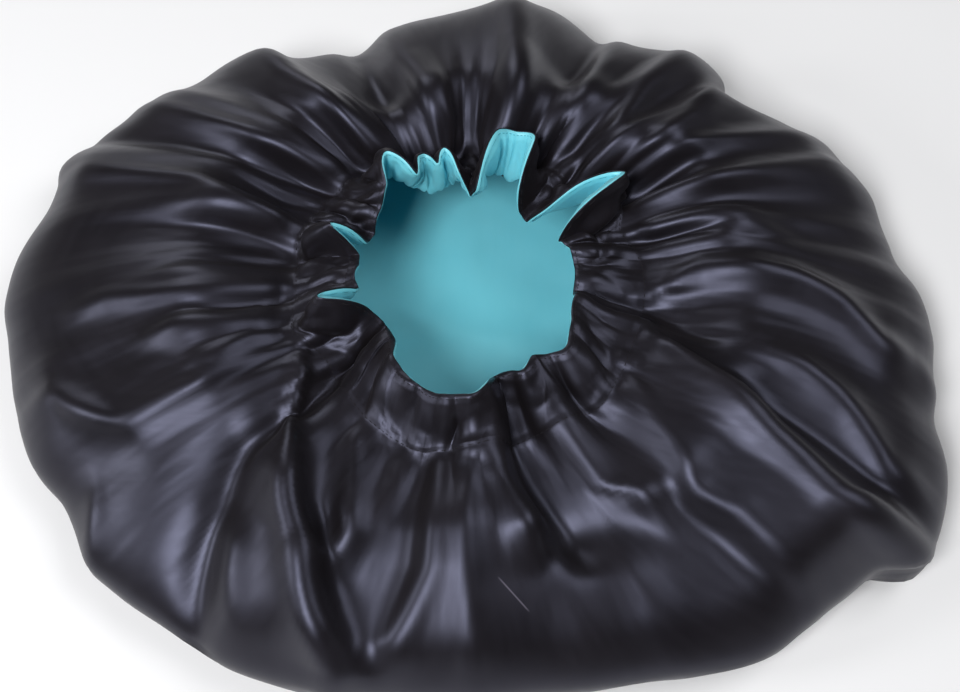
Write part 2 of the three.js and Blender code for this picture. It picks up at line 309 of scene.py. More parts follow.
@dataclass
class BonnetForm:
    """The shape of the cloth as it lies: the surface midway between the two plies.

    Attributes:
        columns: How many points there are round the opening.
        relief: The height of a main fold whose height is 1.
        kept_height: The share of it that the folds keep at the gather line and the outer fold.
        fold_start: The share of the way out over which they rise to their full height.
        fold_end: The share of the way before the outer fold over which they sink again.
        casing_width: The way up the casing, from the gather line to the opening's edge.
        casing_bulge: How far the casing is crowned over the elastic.
        casing_cosines: The least and the greatest cosine of the casing's tilt.
        crown_share: Where the flat crown ends, as a share of the way to the outer fold.
        crest_share: Where the top is highest, as a share of the way out.
        shoulder: The power of the way out in the top's rounding.
        tip_height: How far a main fold's crisp tip stands out.
        tip_width: The tip's width in degrees.
        tip_range: The lowest and the highest sum of the tips that counts.
        crease_start: The share of the way out over which the creases start.
        crease_end: The share before the outer fold over which the long creases sink.
        crease_kept: The share of their height that the long creases keep there.
        crease_tips: How blunt the long and the short creases are.
        short_crease_fade: The share at which the short creases begin to fade, and over what.
        run_on_height: How far folds lift the cloth where they run on over the gather line.
        run_on_reach: How far from the line they do so, in casing widths.
        run_on_level: The height of a puff that doesn't lift it.
        lobe_damping: How far full lobes damp the small puffs.
        lobe_gain: The lobes' strength beside that of the small puffs.
        pinch_pitch: The least and the greatest spacing of the pinches, over the mean one.
        pinch_reach: The least reach of a pinch, and how much more the longest has.
        pinch_draw: The two values of the beta distribution that draws the reaches.
        pinch_drift: How far pinches turn on their way out, in degrees.
        pinch_millimetres: The depth of a pinch without reach, and what its reach adds.
        pinch_strength: The least and the greatest factor of a pinch's depth.
        longest_valley: The reach past which a pinch is a ridge.
        outline: The outer fold's distance from the middle, over that of its ellipse.
        gather_line: The same of the gather line.
        gather_rise: The gather line's height in millimetres.
        rim_line: The opening's edge in plan, over the gather line's ellipse.
        crest_rise: The height of the top's crest in millimetres.
        lobes: How far coarse lobes that run on over the gather line take the place of puffs.
        liveliness: How strong the small creases and the buckling are.
        folds: The main folds.
    """

    columns: int = 480
    body_width: float = 424 * MM
    body_depth: float = 340 * MM
    outer_fold_height: float = 15 * MM
    relief: float = 13 * MM
    kept_height: float = 0.35
    fold_start: float = 0.14
    fold_end: float = 0.2
    gather_width: float = 152 * MM
    gather_depth: float = 160 * MM
    gather_set_back: float = 5 * MM
    body_set_forward: float = 3 * MM
    casing_width: float = 29.4 * MM
    casing_bulge: float = 1.0 * MM
    casing_cosines: tuple[float, float] = (-0.96, 0.985)
    crown_share: float = 0.8
    crest_share: float = 0.3
    shoulder: float = 1.25
    tip_height: float = 5.0 * MM
    tip_width: float = 1.9
    tip_range: tuple[float, float] = (-0.5, 1.2)
    crease_start: float = 0.12
    crease_end: float = 0.25
    crease_kept: float = 0.7
    crease_tips: tuple[float, float] = (0.07, 0.12)
    short_crease_fade: tuple[float, float] = (0.1, 0.6)
    long_crease_height: float = 3.6 * MM
    short_crease_height: float = 2.0 * MM
    run_on_height: float = 3.0 * MM
    run_on_reach: float = 1.1
    run_on_level: float = 0.4
    lobe_damping: float = 0.85
    lobe_gain: float = 1.5
    puff_limit: float = 2.4
    puff_size: float = 1.6
    pinch_count: int = 60
    pinch_pitch: tuple[float, float] = (0.6, 1.4)
    pinch_reach: tuple[float, float] = (0.12, 0.9)
    pinch_draw: tuple[float, float] = (1.0, 1.9)
    pinch_drift: float = 7.0
    pinch_millimetres: tuple[float, float] = (1.4, 2.6)
    pinch_strength: tuple[float, float] = (0.5, 1.3)
    longest_valley: float = 0.36
    seed: int = 11

    outline: RoundTable = RoundTable(
        (
            (0, 0.995), (12, 0.957), (22, 0.985), (32, 0.995), (40, 0.975), (48, 0.905),
            (57, 1.005), (63, 1.0), (70, 0.99), (80, 1.075), (90, 1.048), (98, 1.01),
            (107, 0.955), (118, 0.98), (127, 1.03), (138, 1.015), (146, 1.045),
            (152, 1.05), (156, 1.01), (162, 0.996), (170, 1.003), (177, 0.998),
            (184, 0.975), (196, 0.967), (205, 0.975), (212, 0.962), (218, 0.98),
            (224, 1.01), (234, 1.012), (241, 1.03), (250, 1.035), (262, 1.01),
            (275, 1.003), (290, 1.025), (302, 1.075), (312, 1.06), (318, 1.06),
            (324, 1.125), (330, 1.105), (336, 1.07), (344, 1.005), (352, 0.995),
        )
    )
    gather_line: RoundTable = RoundTable(
        (
            (0, 0.99), (10, 0.95), (17, 0.92), (22, 0.94), (28, 0.95), (32, 0.93), (38, 0.9),
            (45, 0.88), (50, 0.88), (57, 0.85), (61, 0.76), (66, 0.71), (79, 0.7), (84, 0.74),
            (88, 0.8), (92, 0.78), (98, 0.67), (105, 0.65), (112, 0.67), (118, 0.74),
            (123, 0.78), (130, 0.84), (137, 0.9), (150, 0.95), (163, 0.98), (176, 0.96),
            (188, 0.96), (200, 1.0), (212, 0.95), (220, 0.93), (236, 0.98), (247, 1.02),
            (258, 1.06), (275, 1.06), (285, 1.02), (292, 1.0), (300, 1.02), (311, 1.06),
            (320, 1.03), (330, 1.0), (345, 1.0),
        )
    )
    gather_rise: RoundTable = RoundTable(
        (
            (0, 47), (22, 46), (34, 36), (44, 36), (54, 42), (66, 38), (80, 38), (88, 40),
            (98, 37), (112, 37), (123, 41), (140, 45), (160, 46), (200, 46), (225, 48),
            (245, 47), (275, 46), (295, 49), (325, 48),
        )
    )
    rim_line: RoundTable = RoundTable(
        (
            (0, 0.62), (8, 0.6), (13, 0.57), (16, 0.55), (19, 0.61), (22, 0.78), (25, 0.96),
            (28, 1.04), (31, 0.98), (34, 0.8), (37, 0.63), (42, 0.53), (48, 0.5), (54, 0.51),
            (57, 0.56), (59, 0.67), (61, 0.84), (66, 0.88), (72, 0.86), (77, 0.8), (80, 0.6),
            (82, 0.44), (86, 0.45), (92, 0.5), (96, 0.56), (98, 0.65), (101, 0.69),
            (104, 0.66), (106, 0.59), (108, 0.65), (111, 0.69), (115, 0.67), (118, 0.59),
            (121, 0.56), (124, 0.67), (128, 0.76), (132, 0.73), (136, 0.64), (142, 0.61),
            (150, 0.6), (158, 0.59), (165, 0.6), (168, 0.69), (170.5, 0.79), (173, 0.69),
            (176, 0.61), (185, 0.61), (192, 0.64), (198, 0.63), (201, 0.74), (204.5, 0.89),
            (207, 0.75), (210, 0.64), (220, 0.59), (230, 0.61), (237, 0.7), (241, 0.76),
            (248, 0.82), (256, 0.87), (263, 0.89), (272, 0.89), (276, 0.83), (279, 0.77),
            (285, 0.73), (289, 0.76), (292, 0.8), (295, 0.77), (299, 0.73), (305, 0.77),
            (311, 0.81), (316, 0.77), (325, 0.7), (333, 0.66), (345, 0.63),
        )
    )
    crest_rise: RoundTable = RoundTable(
        ((0, 60), (195, 60), (225, 55), (250, 51), (290, 51), (320, 55), (340, 60))
    )
    lobes: RoundTable = RoundTable(
        ((0, 0.45), (40, 0.2), (140, 0.2), (190, 0.3), (215, 0.6), (235, 1), (310, 1), (335, 0.7))
    )
    liveliness: RoundTable = RoundTable(
        ((0, 0.5), (30, 0.8), (60, 1), (200, 0.9), (220, 0.5), (240, 0.2), (330, 0.2), (350, 0.4))
    )
    folds: tuple[Fold, ...] = (
        Fold(((0, 208), (0.11, 216), (0.28, 231), (0.56, 246), (0.93, 256)), 1.2, (9, 2.8)),
        Fold(((0.3, 242), (0.6, 252), (0.8, 256)), -0.15, (3, 9)),
        Fold(((0, 240), (0.12, 242), (0.24, 246), (0.42, 251)), 0.45, (2.5, 3)),
        Fold(((0, 251), (0.18, 255)), 0.35, (3, 3)),
        Fold(((0, 264), (0.24, 264), (0.54, 265), (0.82, 262)), 0.5, (1.8, 5)),
        Fold(((0, 272), (0.3, 270), (0.95, 271)), 0.6, (5, 12)),
        Fold(((0, 276), (0.16, 277), (0.36, 281)), 0.75, (4, 1.8)),
        Fold(((0, 283), (0.2, 284), (0.42, 287)), -0.75, (3, 12)),
        Fold(((0, 299), (0.29, 297), (0.36, 302)), 0.4, (4, 5)),
        Fold(((0.33, 304), (0.74, 306), (0.92, 308)), -0.3, (5, 3)),
        Fold(((0, 322), (0.21, 315), (0.47, 308), (0.61, 310), (0.94, 309)), 0.45, (2.4, 6)),
        Fold(((0, 336), (0.17, 330), (0.47, 323), (0.75, 320), (1, 322)), 1.2, (13, 3.4)),
        Fold(((0.62, 322), (0.85, 320), (1, 322)), 0.5, (16, 3.4), fade_in=0.3),
        Fold(((0.28, 331), (0.4, 330), (0.7, 327), (0.99, 325)), -0.35, (2.5, 4)),
        Fold(((0.2, 341), (0.5, 339), (0.62, 336), (0.79, 329)), 0.5, (4, 5)),
        Fold(((0.86, 351), (0.98, 347)), 0.25, (3, 3)),
        Fold(((0, 352), (0.19, 360), (0.48, 358), (0.64, 354), (0.77, 349)), 0.5, (4, 5)),
        Fold(((0, 347), (0.19, 342), (0.31, 340)), -0.35, (3, 3)),
        Fold(((0, 8), (0.14, 6), (0.27, 7), (0.36, 10)), 0.3, (2.2, 2.2)),
        Fold(((0, 14), (0.23, 14), (0.36, 13)), 0.3, (2.2, 2.2)),
        Fold(((0, 20), (0.27, 22), (0.53, 25), (0.83, 27)), 0.45, (5, 6)),
        Fold(((0, 40), (0.28, 38), (0.55, 42), (0.83, 48), (1, 53)), 0.8, (7, 5)),
        Fold(((0, 47), (0.25, 48), (0.54, 54), (1, 59)), 0.45, (4, 3)),
        Fold(((0, 56), (0.18, 58), (0.48, 63), (1, 69)), 0.45, (3, 3)),
        Fold(((0.4, 69), (1, 71)), -0.5, (5, 5)),
        Fold(((0, 80), (0.17, 77), (0.29, 77), (0.54, 81), (1, 85)), 0.7, (5, 5)),
        Fold(((0, 90), (0.27, 99), (0.63, 102), (1, 102)), 0.5, (5, 4)),
        Fold(((0.3, 110), (1, 107)), -0.6, (5, 5)),
        Fold(((0, 123), (0.3, 126), (0.59, 124), (1, 119)), 0.7, (5, 6)),
        Fold(((0, 140), (0.31, 143), (0.62, 141), (1, 139)), 0.6, (5, 5)),
        Fold(((0, 147), (0.28, 149), (1, 147)), -0.5, (5, 5)),
        Fold(((0, 168), (0.18, 163), (0.39, 158), (0.83, 156)), 0.6, (6, 6)),
        Fold(((0, 187), (0.29, 189), (0.59, 185)), 0.3, (3, 3)),
        Fold(((0, 196), (0.22, 198), (0.35, 196)), 0.35, (3, 4)),
        Fold(((0, 197), (0.4, 210), (0.67, 210), (0.83, 199)), 0.4, (5, 5)),
        Fold(((0, 222), (0.16, 226), (0.4, 226), (0.63, 232), (1, 240)), -0.6, (4, 5)),
        Fold(((0.8, 210), (0.87, 217), (0.98, 223)), 0.25, (3, 3)),
        Fold(((0.53, 233), (0.7, 238), (0.87, 243)), 0.3, (4, 4)),
    )

    def __post_init__(self) -> None:
        """Lays out the columns and the small creases."""
        self.degrees = np.arange(self.columns) * FULL_CIRCLE / self.columns
        radians = np.radians(self.degrees)
        self.cos, self.sin = np.cos(radians), np.sin(radians)
        self.pinches = self.make_pinches()

    def make_pinches(self) -> tuple[Pinch, ...]:
        """The small creases of the gathering: seeded, mixed in reach, and deeper if they are long.

        Returns:
            The creases in order round the opening.
        """
        rng = np.random.default_rng(self.seed)
        pitch = rng.uniform(*self.pinch_pitch, self.pinch_count)
        angles = np.cumsum(pitch) / pitch.sum() * FULL_CIRCLE
        least, more = self.pinch_reach
        reaches = least + more * rng.beta(*self.pinch_draw, self.pinch_count)
        reaches = reaches * self.liveliness.read(angles)
        drifts = rng.normal(0.0, self.pinch_drift, self.pinch_count)
        plain, added = self.pinch_millimetres
        strength = rng.uniform(*self.pinch_strength, self.pinch_count)
        depths = (plain + added * reaches) * MM * strength
        depths = np.where(reaches > self.longest_valley, -depths, depths)
        return tuple(
            Pinch(float(a), float(d), float(r), float(h))
            for a, d, r, h in zip(angles, drifts, reaches, depths, strict=True)
        )

    def gather_points(self) -> Array:
        """The gather line: an ellipse drawn in by its table, at the height of another.

        Returns:
            Its points, one a column.
        """
        share = self.gather_line.read(self.degrees)
        x = self.gather_width / 2 * share * self.cos
        y = self.gather_depth / 2 * share * self.sin + self.gather_set_back
        return np.stack([x, y, self.gather_rise.read(self.degrees) * MM], axis=-1)

    def outer_points(self) -> Array:
        """The outer fold: an ellipse drawn in or out by the outline.

        Returns:
            Its points, one a column.
        """
        share = self.outline.read(self.degrees)
        x = self.body_width / 2 * share * self.cos
        y = self.body_depth / 2 * share * self.sin - self.body_set_forward
        return np.stack([x, y, np.full_like(x, self.outer_fold_height)], axis=-1)

    def underside(self, shares: Array) -> Array:
        """The underside: flat under the crown, then a quarter ellipse up to the outer fold.

        Args:
            shares: Shares of the way from the crown's middle to the outer fold.

        Returns:
            Its rows of points.
        """
        rows = self.outer_points()[None] * shares[:, None, None]
        rise = np.clip((shares - self.crown_share) / (1 - self.crown_share), 0, 1)
        rows[..., 2] = (self.outer_fold_height * (1 - np.sqrt(1 - rise**2)))[:, None]
        return rows

    def lift(self, shares: Array) -> Array:
        """The height of the main folds and the pinches over the plain body.

        The main folds are lower at the gather line, and all are lower at the outer fold.

        Args:
            shares: Shares of the way from the gather line to the outer fold, one a row.

        Returns:
            The height in metres at each row and column.
        """
        degrees, share = np.broadcast_arrays(self.degrees[None], shares[:, None])
        lift = sum(fold.lift(degrees, share) for fold in self.folds) * self.relief
        lift = lift * raised(self.kept_height, smooth(share / self.fold_start))
        for pinch in self.pinches:
            lift = lift - pinch.depth_at(degrees, share)
        return lift * raised(self.kept_height, smooth((1 - share) / self.fold_end))

    def creases(self, shares: Array) -> Array:
        """The cloth's crisp creases: the main folds' tips, and ridges of two unevennesses.

        The long ridges reach the outer fold, and the short ones stay near the gather line.

        Args:
            shares: Shares of the way from the gather line to the outer fold, one a row.

        Returns:
            Heights in metres by row and column.
        """
        degrees, share = self.degrees[None], shares[:, None]
        long = Creasing(self.seed + 1, waves=(8, 22), count=6, bend=0.9, speed=2.2)
        short = Creasing(self.seed + 2, waves=(26, 52), count=5, bend=0.8, speed=5.0)
        starts = np.maximum(smooth(share / self.crease_start), self.lobes.read(degrees))
        lively = starts * self.liveliness.read(degrees)
        ends = raised(self.crease_kept, smooth((1 - share) / self.crease_end))
        long_tip, short_tip = self.crease_tips
        height = self.long_crease_height * long.ridges(degrees, share, long_tip) * lively * ends
        tips = sum(fold.lift(degrees, share, self.tip_width) for fold in self.folds) * starts
        height = height + self.tip_height * np.clip(tips, *self.tip_range)
        fade = lively * (1 - ramp(share, self.short_crease_fade))
        return height + self.short_crease_height * short.ridges(degrees, share, short_tip) * fade

    def puffs(self, place: Array, fine: Creasing, coarse: Creasing) -> Array:
        """Rounded puffs between sharp valleys, coarser on the near side.

        A puff's height is the size of an unevenness, which is zero along the valleys. It is cut
        off at puff_limit and divided by puff_size.

        Args:
            place: Distances from the gather line as shares of the casing's width, one a row.
            fine: The unevenness of the puffs at the sides and the far side.
            coarse: The unevenness of the near side's lobes.

        Returns:
            Heights by row and column, 1.5 at most.
        """
        share = self.lobes.read(self.degrees)[None]
        small = np.abs(fine.read(self.degrees[None], place[:, None]))
        large = np.abs(coarse.read(self.degrees[None], place[:, None]))
        both = small * (1 - self.lobe_damping * share) + self.lobe_gain * large * share
        return np.minimum(both, self.puff_limit) / self.puff_size

    def run_on(self, place: Array) -> Array:
        """How far the folds that run on across the gather line lift it, by row and column.

        Args:
            place: Distances from the gather line as shares of the casing's width, one a row.

        Returns:
            Heights in metres, which fade on both sides of the line.
        """
        fine = Creasing(self.seed + 3, waves=(14, 34), count=4, bend=0.5, speed=1.5)
        coarse = Creasing(self.seed + 4, waves=(5, 12), count=4, bend=0.5, speed=1.0)
        fade = 1 - smooth(np.abs(place) / self.run_on_reach)[:, None]
        return self.run_on_height * (self.puffs(place, fine, coarse) - self.run_on_level) * fade

    def top(self, shares: Array) -> Array:
        """The top: up from the gather line to the crest, then rounded down to the outer fold.

        Args:
            shares: Shares of the way from the gather line to the outer fold.

        Returns:
            Its rows of points.
        """
        gather, outer = self.gather_points(), self.outer_points()
        rows = gather[None] + (outer - gather)[None] * shares[:, None, None]
        climb = smooth(shares / self.crest_share)[:, None]
        out = np.clip((shares - self.crest_share) / (1 - self.crest_share), 0, 1)
        round_down = np.sqrt(1 - out**self.shoulder)[:, None]
        fold, crest = self.outer_fold_height, self.crest_rise.read(self.degrees)[None] * MM
        rising = gather[None, :, 2] + (crest - gather[None, :, 2]) * climb
        falling = fold + (crest - fold) * round_down
        rows[..., 2] = np.where(shares[:, None] < self.crest_share, rising, falling)
        rows[..., 2] += self.lift(shares)
        return rows

    def casing(self, shares: Array, gather: Array) -> Array:
        """The casing: it stands on the gather line and reaches to the rim's place in plan.

        Its tilt is the arc cosine of the way in over the casing's width, and it is crowned as a
        sine of the way up it.

        Args:
            shares: Shares of the way from the gather line to the opening's edge.
            gather: The points of the gather line.

        Returns:
            Its rows of points.
        """
        inset = self.gather_line.read(self.degrees) - self.rim_line.read(self.degrees)
        reach = np.hypot(self.gather_width * self.cos, self.gather_depth * self.sin) / 2
        tilt = np.arccos(np.clip(inset * reach / self.casing_width, *self.casing_cosines))
        inwards = unit(np.array([0.0, self.gather_set_back]) - gather[:, :2])
        run = (self.casing_width * shares)[:, None]
        crown = (self.casing_bulge * np.sin(np.pi * shares))[:, None]
        rows = np.repeat(gather[None], len(shares), axis=0)
        rows[..., :2] += (run * np.cos(tilt) - crown * np.sin(tilt))[..., None] * inwards[None]
        rows[..., 2] += run * np.sin(tilt) + crown * np.cos(tilt)
        return rows


def grid_normals(rows: Array) -> Array:
    """The outward normals of rows of points that close round the opening.

    Each is the cross product of the way to the next column and the way to the next row, by
    central differences.

    Args:
        rows: Points by row and column.

    Returns:
        Unit vectors, one a point.
    """
    round_way = np.roll(rows, -1, axis=1) - np.roll(rows, 1, axis=1)
    up_way = np.gradient(rows, axis=0)
    return unit(np.cross(round_way, up_way))


def softened(rows: Array, times: int) -> Array:
    """Rows of points with every point moved to (before + 2 * itself + after) / 4 in its row.

    Args:
        rows: Points by row and column.
        times: How often this is done.

    Returns:
        The softened points.
    """
    for _ in range(times):
        rows = (np.roll(rows, 1, axis=1) + 2 * rows + np.roll(rows, -1, axis=1)) / 4
    return rows


def inner_means(rows: Array) -> Array:
    """(the row before + 2 * itself + the row after) / 4 for all but the first and last rows."""
    return (rows[:-2] + 2 * rows[1:-1] + rows[2:]) / 4


def flat_pattern(rows: Array) -> Array:
    """Where each point lies on the flat cut of its ply.

    The distance from the crown's middle is the mean length of cloth from there to the row, and
    the direction is that of the column.

    Args:
        rows: Points by row and column, from the crown outwards.

    Returns:
        Flat x and y in metres, one pair a point.
    """
    steps = np.linalg.norm(np.diff(rows, axis=0), axis=-1).mean(axis=1)
    start = np.linalg.norm(rows[0], axis=-1).mean()
    away = np.concatenate([[start], start + np.cumsum(steps)])
    turn = np.linspace(0, 2 * np.pi, rows.shape[1], endpoint=False)
    return away[:, None, None] * np.stack([np.cos(turn), np.sin(turn)], axis=-1)[None]


def new_object(
    name: str, points: Array, faces: Array, uv: Array | None = None
) -> bpy.types.Object:
    """A mesh object at the origin from arrays.

    Args:
        name: The piece's name.
        points: Its vertices.
        faces: Its faces, as lists of vertex numbers; a last number of -1 marks a triangle.
        uv: One pair for each vertex, if the piece has a UV map.

    Returns:
        The object, linked to the scene and shaded smooth.
    """
    mesh = bpy.data.meshes.new(name)
    lists = [[int(v) for v in face if v >= 0] for face in faces]
    mesh.from_pydata(points.reshape(-1, 3), [], lists)
    if uv is not None:
        layer = mesh.uv_layers.new(name="flat_cut")
        loops = np.empty(len(mesh.loops), np.int32)
        mesh.loops.foreach_get("vertex_index", loops)
        layer.data.foreach_set("uv", uv.reshape(-1, 2)[loops].astype(np.float32).ravel())
    mesh.shade_smooth()
    mesh.update()
    made = bpy.data.objects.new(name, mesh)
    bpy.context.scene.collection.objects.link(made)
    return made


def grid_faces(rows: int, columns: int, closed: bool = True) -> Array:
    """The faces of a grid of points, facing to the left of the way up the rows.

    Args:
        rows: How many rows there are.
        columns: How many points a row has.
        closed: Whether the last column joins the first.

    Returns:
        Four vertex numbers a face.
    """
    across = np.arange(columns if closed else columns - 1)
    low = np.arange(rows - 1)[:, None] * columns
    left, right = low + across, low + (across + 1) % columns
    return np.stack([left, right, right + columns, left + columns], axis=-1).reshape(-1, 4)


def tubes(
    paths: Array, way_up: Array, across: Array, height: Array, sides: int = 6
) -> tuple[Array, Array]:
    """Closed tubes along many paths of equally many points, with tapered ends.

    Each ring is the point + side * across * cos(angle) + up * height * sin(angle), where side
    is the cross product of the way along and up.

    Args:
        paths: Points by path and station.
        way_up: A unit vector for each point, out of the surface that carries it.
        across: The half width at each station.
        height: The half height at each station.
        sides: How many sides a tube has.

    Returns:
        The points, and the faces as lists of vertex numbers that end in -1 for a triangle.
    """
    count, stations = paths.shape[:2]
    side = unit(np.cross(np.gradient(paths, axis=1), way_up))
    angle = -np.arange(sides) * 2 * np.pi / sides
    wide = (across[:, None] * np.cos(angle))[None, :, :, None] * side[:, :, None]
    high = (height[:, None] * np.sin(angle))[None, :, :, None] * way_up[:, :, None]
    rings = paths[:, :, None] + wide + high
    ends = paths[:, [0, -1]]
    points = np.concatenate([rings.reshape(count, -1, 3), ends], axis=1)
    body = grid_faces(stations, sides)
    ring = np.arange(sides)
    after = (ring + 1) % sides
    last = (stations - 1) * sides
    first_pole, last_pole = stations * sides, stations * sides + 1
    none = np.full(sides, -1)
    start = np.stack([np.full(sides, first_pole), after, ring, none], axis=-1)
    stop = np.stack([np.full(sides, last_pole), last + ring, last + after, none], axis=-1)
    one = np.concatenate([body, start, stop])
    step = (np.arange(count) * points.shape[1])[:, None, None]
    faces = np.where(one[None] < 0, -1, one[None] + step)
    return points.reshape(-1, 3), faces.reshape(-1, 4)


@dataclass
class Gathering:
    """Lets the cloth of the body buckle as gathered cloth does, by relaxing a grid of springs.

    Near the gather line the cloth is longer round the opening than the space it lies in, while
    its length from the crown outwards stays. Every pass moves the points of each family of
    springs to its rest length, half of the springs at a time so that no point is moved twice
    at once. The crown and the gather line are held, and the rest is loosely tethered.

    Attributes:
        extra: How much longer the cloth is at the gather line, as a share.
        reach: The share of the way out at which it is no longer than its space.
        falloff: The power of the rest of the way by which the extra falls off to there.
        evenness: How far the springs of a row get the same length there.
        bend: The stiffness against bending.
        long_bend: The stiffness of the longest springs against bending.
        diagonal: The stiffness against shearing.
        tether: The share of the way back to its start that a point goes in a pass.
        sag: How far a point sinks in a pass.
        momentum: The share of a pass's movement that goes on in the next.
        floor_height: The least height of a point that started over it.
        passes: How many passes there are. The extra length comes in over the first half.
    """

    extra: float = 0.24
    reach: float = 0.6
    falloff: float = 1.5
    evenness: float = 0.5
    bend: float = 0.22
    long_bend: float = 0.132
    diagonal: float = 0.25
    tether: float = 0.03
    sag: float = 0.004 * MM
    momentum: float = 0.85
    floor_height: float = 0.7 * MM
    passes: int = 260

    def families(self, rows: int, columns: int) -> list[tuple[Array, Array, float, bool]]:
        """The springs of a grid, in batches whose springs share no point.

        Args:
            rows: How many rows the grid has.
            columns: How many columns it has.

        Returns:
            For each batch, both ends' point numbers, its stiffness and whether it lies in a row.
        """
        numbers = np.arange(rows * columns).reshape(rows, columns)

        def batch(row_step: int, column_step: int, stiffness: float) -> list[tuple]:
            """The two batches of one kind of spring.

            Args:
                row_step: How many rows a spring goes up.
                column_step: How many columns it goes round.
                stiffness: Its stiffness.

            Returns:
                The batches, as the method returns them.
            """
            low = numbers[: rows - row_step] if row_step else numbers
            high = np.roll(numbers[row_step:], -column_step, axis=1)
            span = row_step if row_step else abs(column_step)
            place = np.arange(low.shape[0])[:, None] if row_step else np.arange(columns)[None]
            first = np.broadcast_to((place // span) % 2 == 0, low.shape)
            return [(low[m], high[m], stiffness, row_step == 0) for m in (first, ~first)]

        return [
            *batch(0, 1, 1.0),
            *batch(1, 0, 1.0),
            *batch(1, 1, self.diagonal),
            *batch(1, -1, self.diagonal),
            *batch(0, 2, self.bend),
            *batch(0, 4, self.bend),
            *batch(0, 8, self.bend),
            *batch(0, 16, self.long_bend),
            *batch(2, 0, self.bend),
        ]

    def relax(self, rows: Array, share: Array, loose: Array, lively: Array) -> Array:
        """Runs the relaxation.

        A spring pulls its ends together by what it is too long, each by its share of the freedom
        to move.

        Args:
            rows: Points by row and column, from the crown's edge to the gather line.
            share: Each row's share of the way out from the gather line.
            loose: For each row, 0 where it is held and 1 where it is free.
            lively: For each column, the share of the extra length that it gets.

        Returns:
            The buckled points.
        """
        count, columns = rows.shape[:2]
        start = rows.reshape(-1, 3).astype(np.float32)
        point, before = start.copy(), start.copy()
        weight = np.repeat(loose, columns).astype(np.float32)
        near = np.clip(1 - share / self.reach, 0, 1) ** self.falloff
        batches = []
        for one, two, stiffness, in_row in self.families(count, columns):
            rest = np.linalg.norm(start[two] - start[one], axis=1)
            if in_row:
                row = one // columns
                mean = (np.bincount(row, rest, count) / np.bincount(row, minlength=count))[row]
                rest = rest + (mean - rest) * self.evenness * near[row]
                rest = rest * (1 + self.extra * near[row] * lively[one % columns])
            both = weight[one] + weight[two]
            pull = np.where(both > 0, stiffness / np.maximum(both, TINY), 0)
            pulls = [(pull * weight[end])[:, None].astype(np.float32) for end in (one, two)]
            batches.append((one, two, rest.astype(np.float32), *pulls))
        hold = (self.tether * weight)[:, None].astype(np.float32)
        for number in range(self.passes):
            fresh = float(smooth((number + 1) / (0.5 * self.passes)))
            moved = point + (point - before) * self.momentum * weight[:, None]
            moved[:, 2] -= self.sag * weight
            before, point = point, moved
            for one, two, rest, pull_one, pull_two in batches:
                way = point[two] - point[one]
                length = np.sqrt(np.einsum("ij,ij->i", way, way))
                wanted = rest * fresh + length * (1 - fresh)
                way *= ((length - wanted) / np.maximum(length, TINY))[:, None]
                point[one] += way * pull_one
                point[two] -= way * pull_two
            point += (start - point) * hold
            point[:, 2] = np.maximum(point[:, 2], np.minimum(start[:, 2], self.floor_height))
        return point.reshape(count, columns, 3).astype(float)


class Side(Enum):
    """A face of the bonnet: the outer ply's or the lining's."""

    OUTSIDE = 1.0
    INSIDE = -1.0


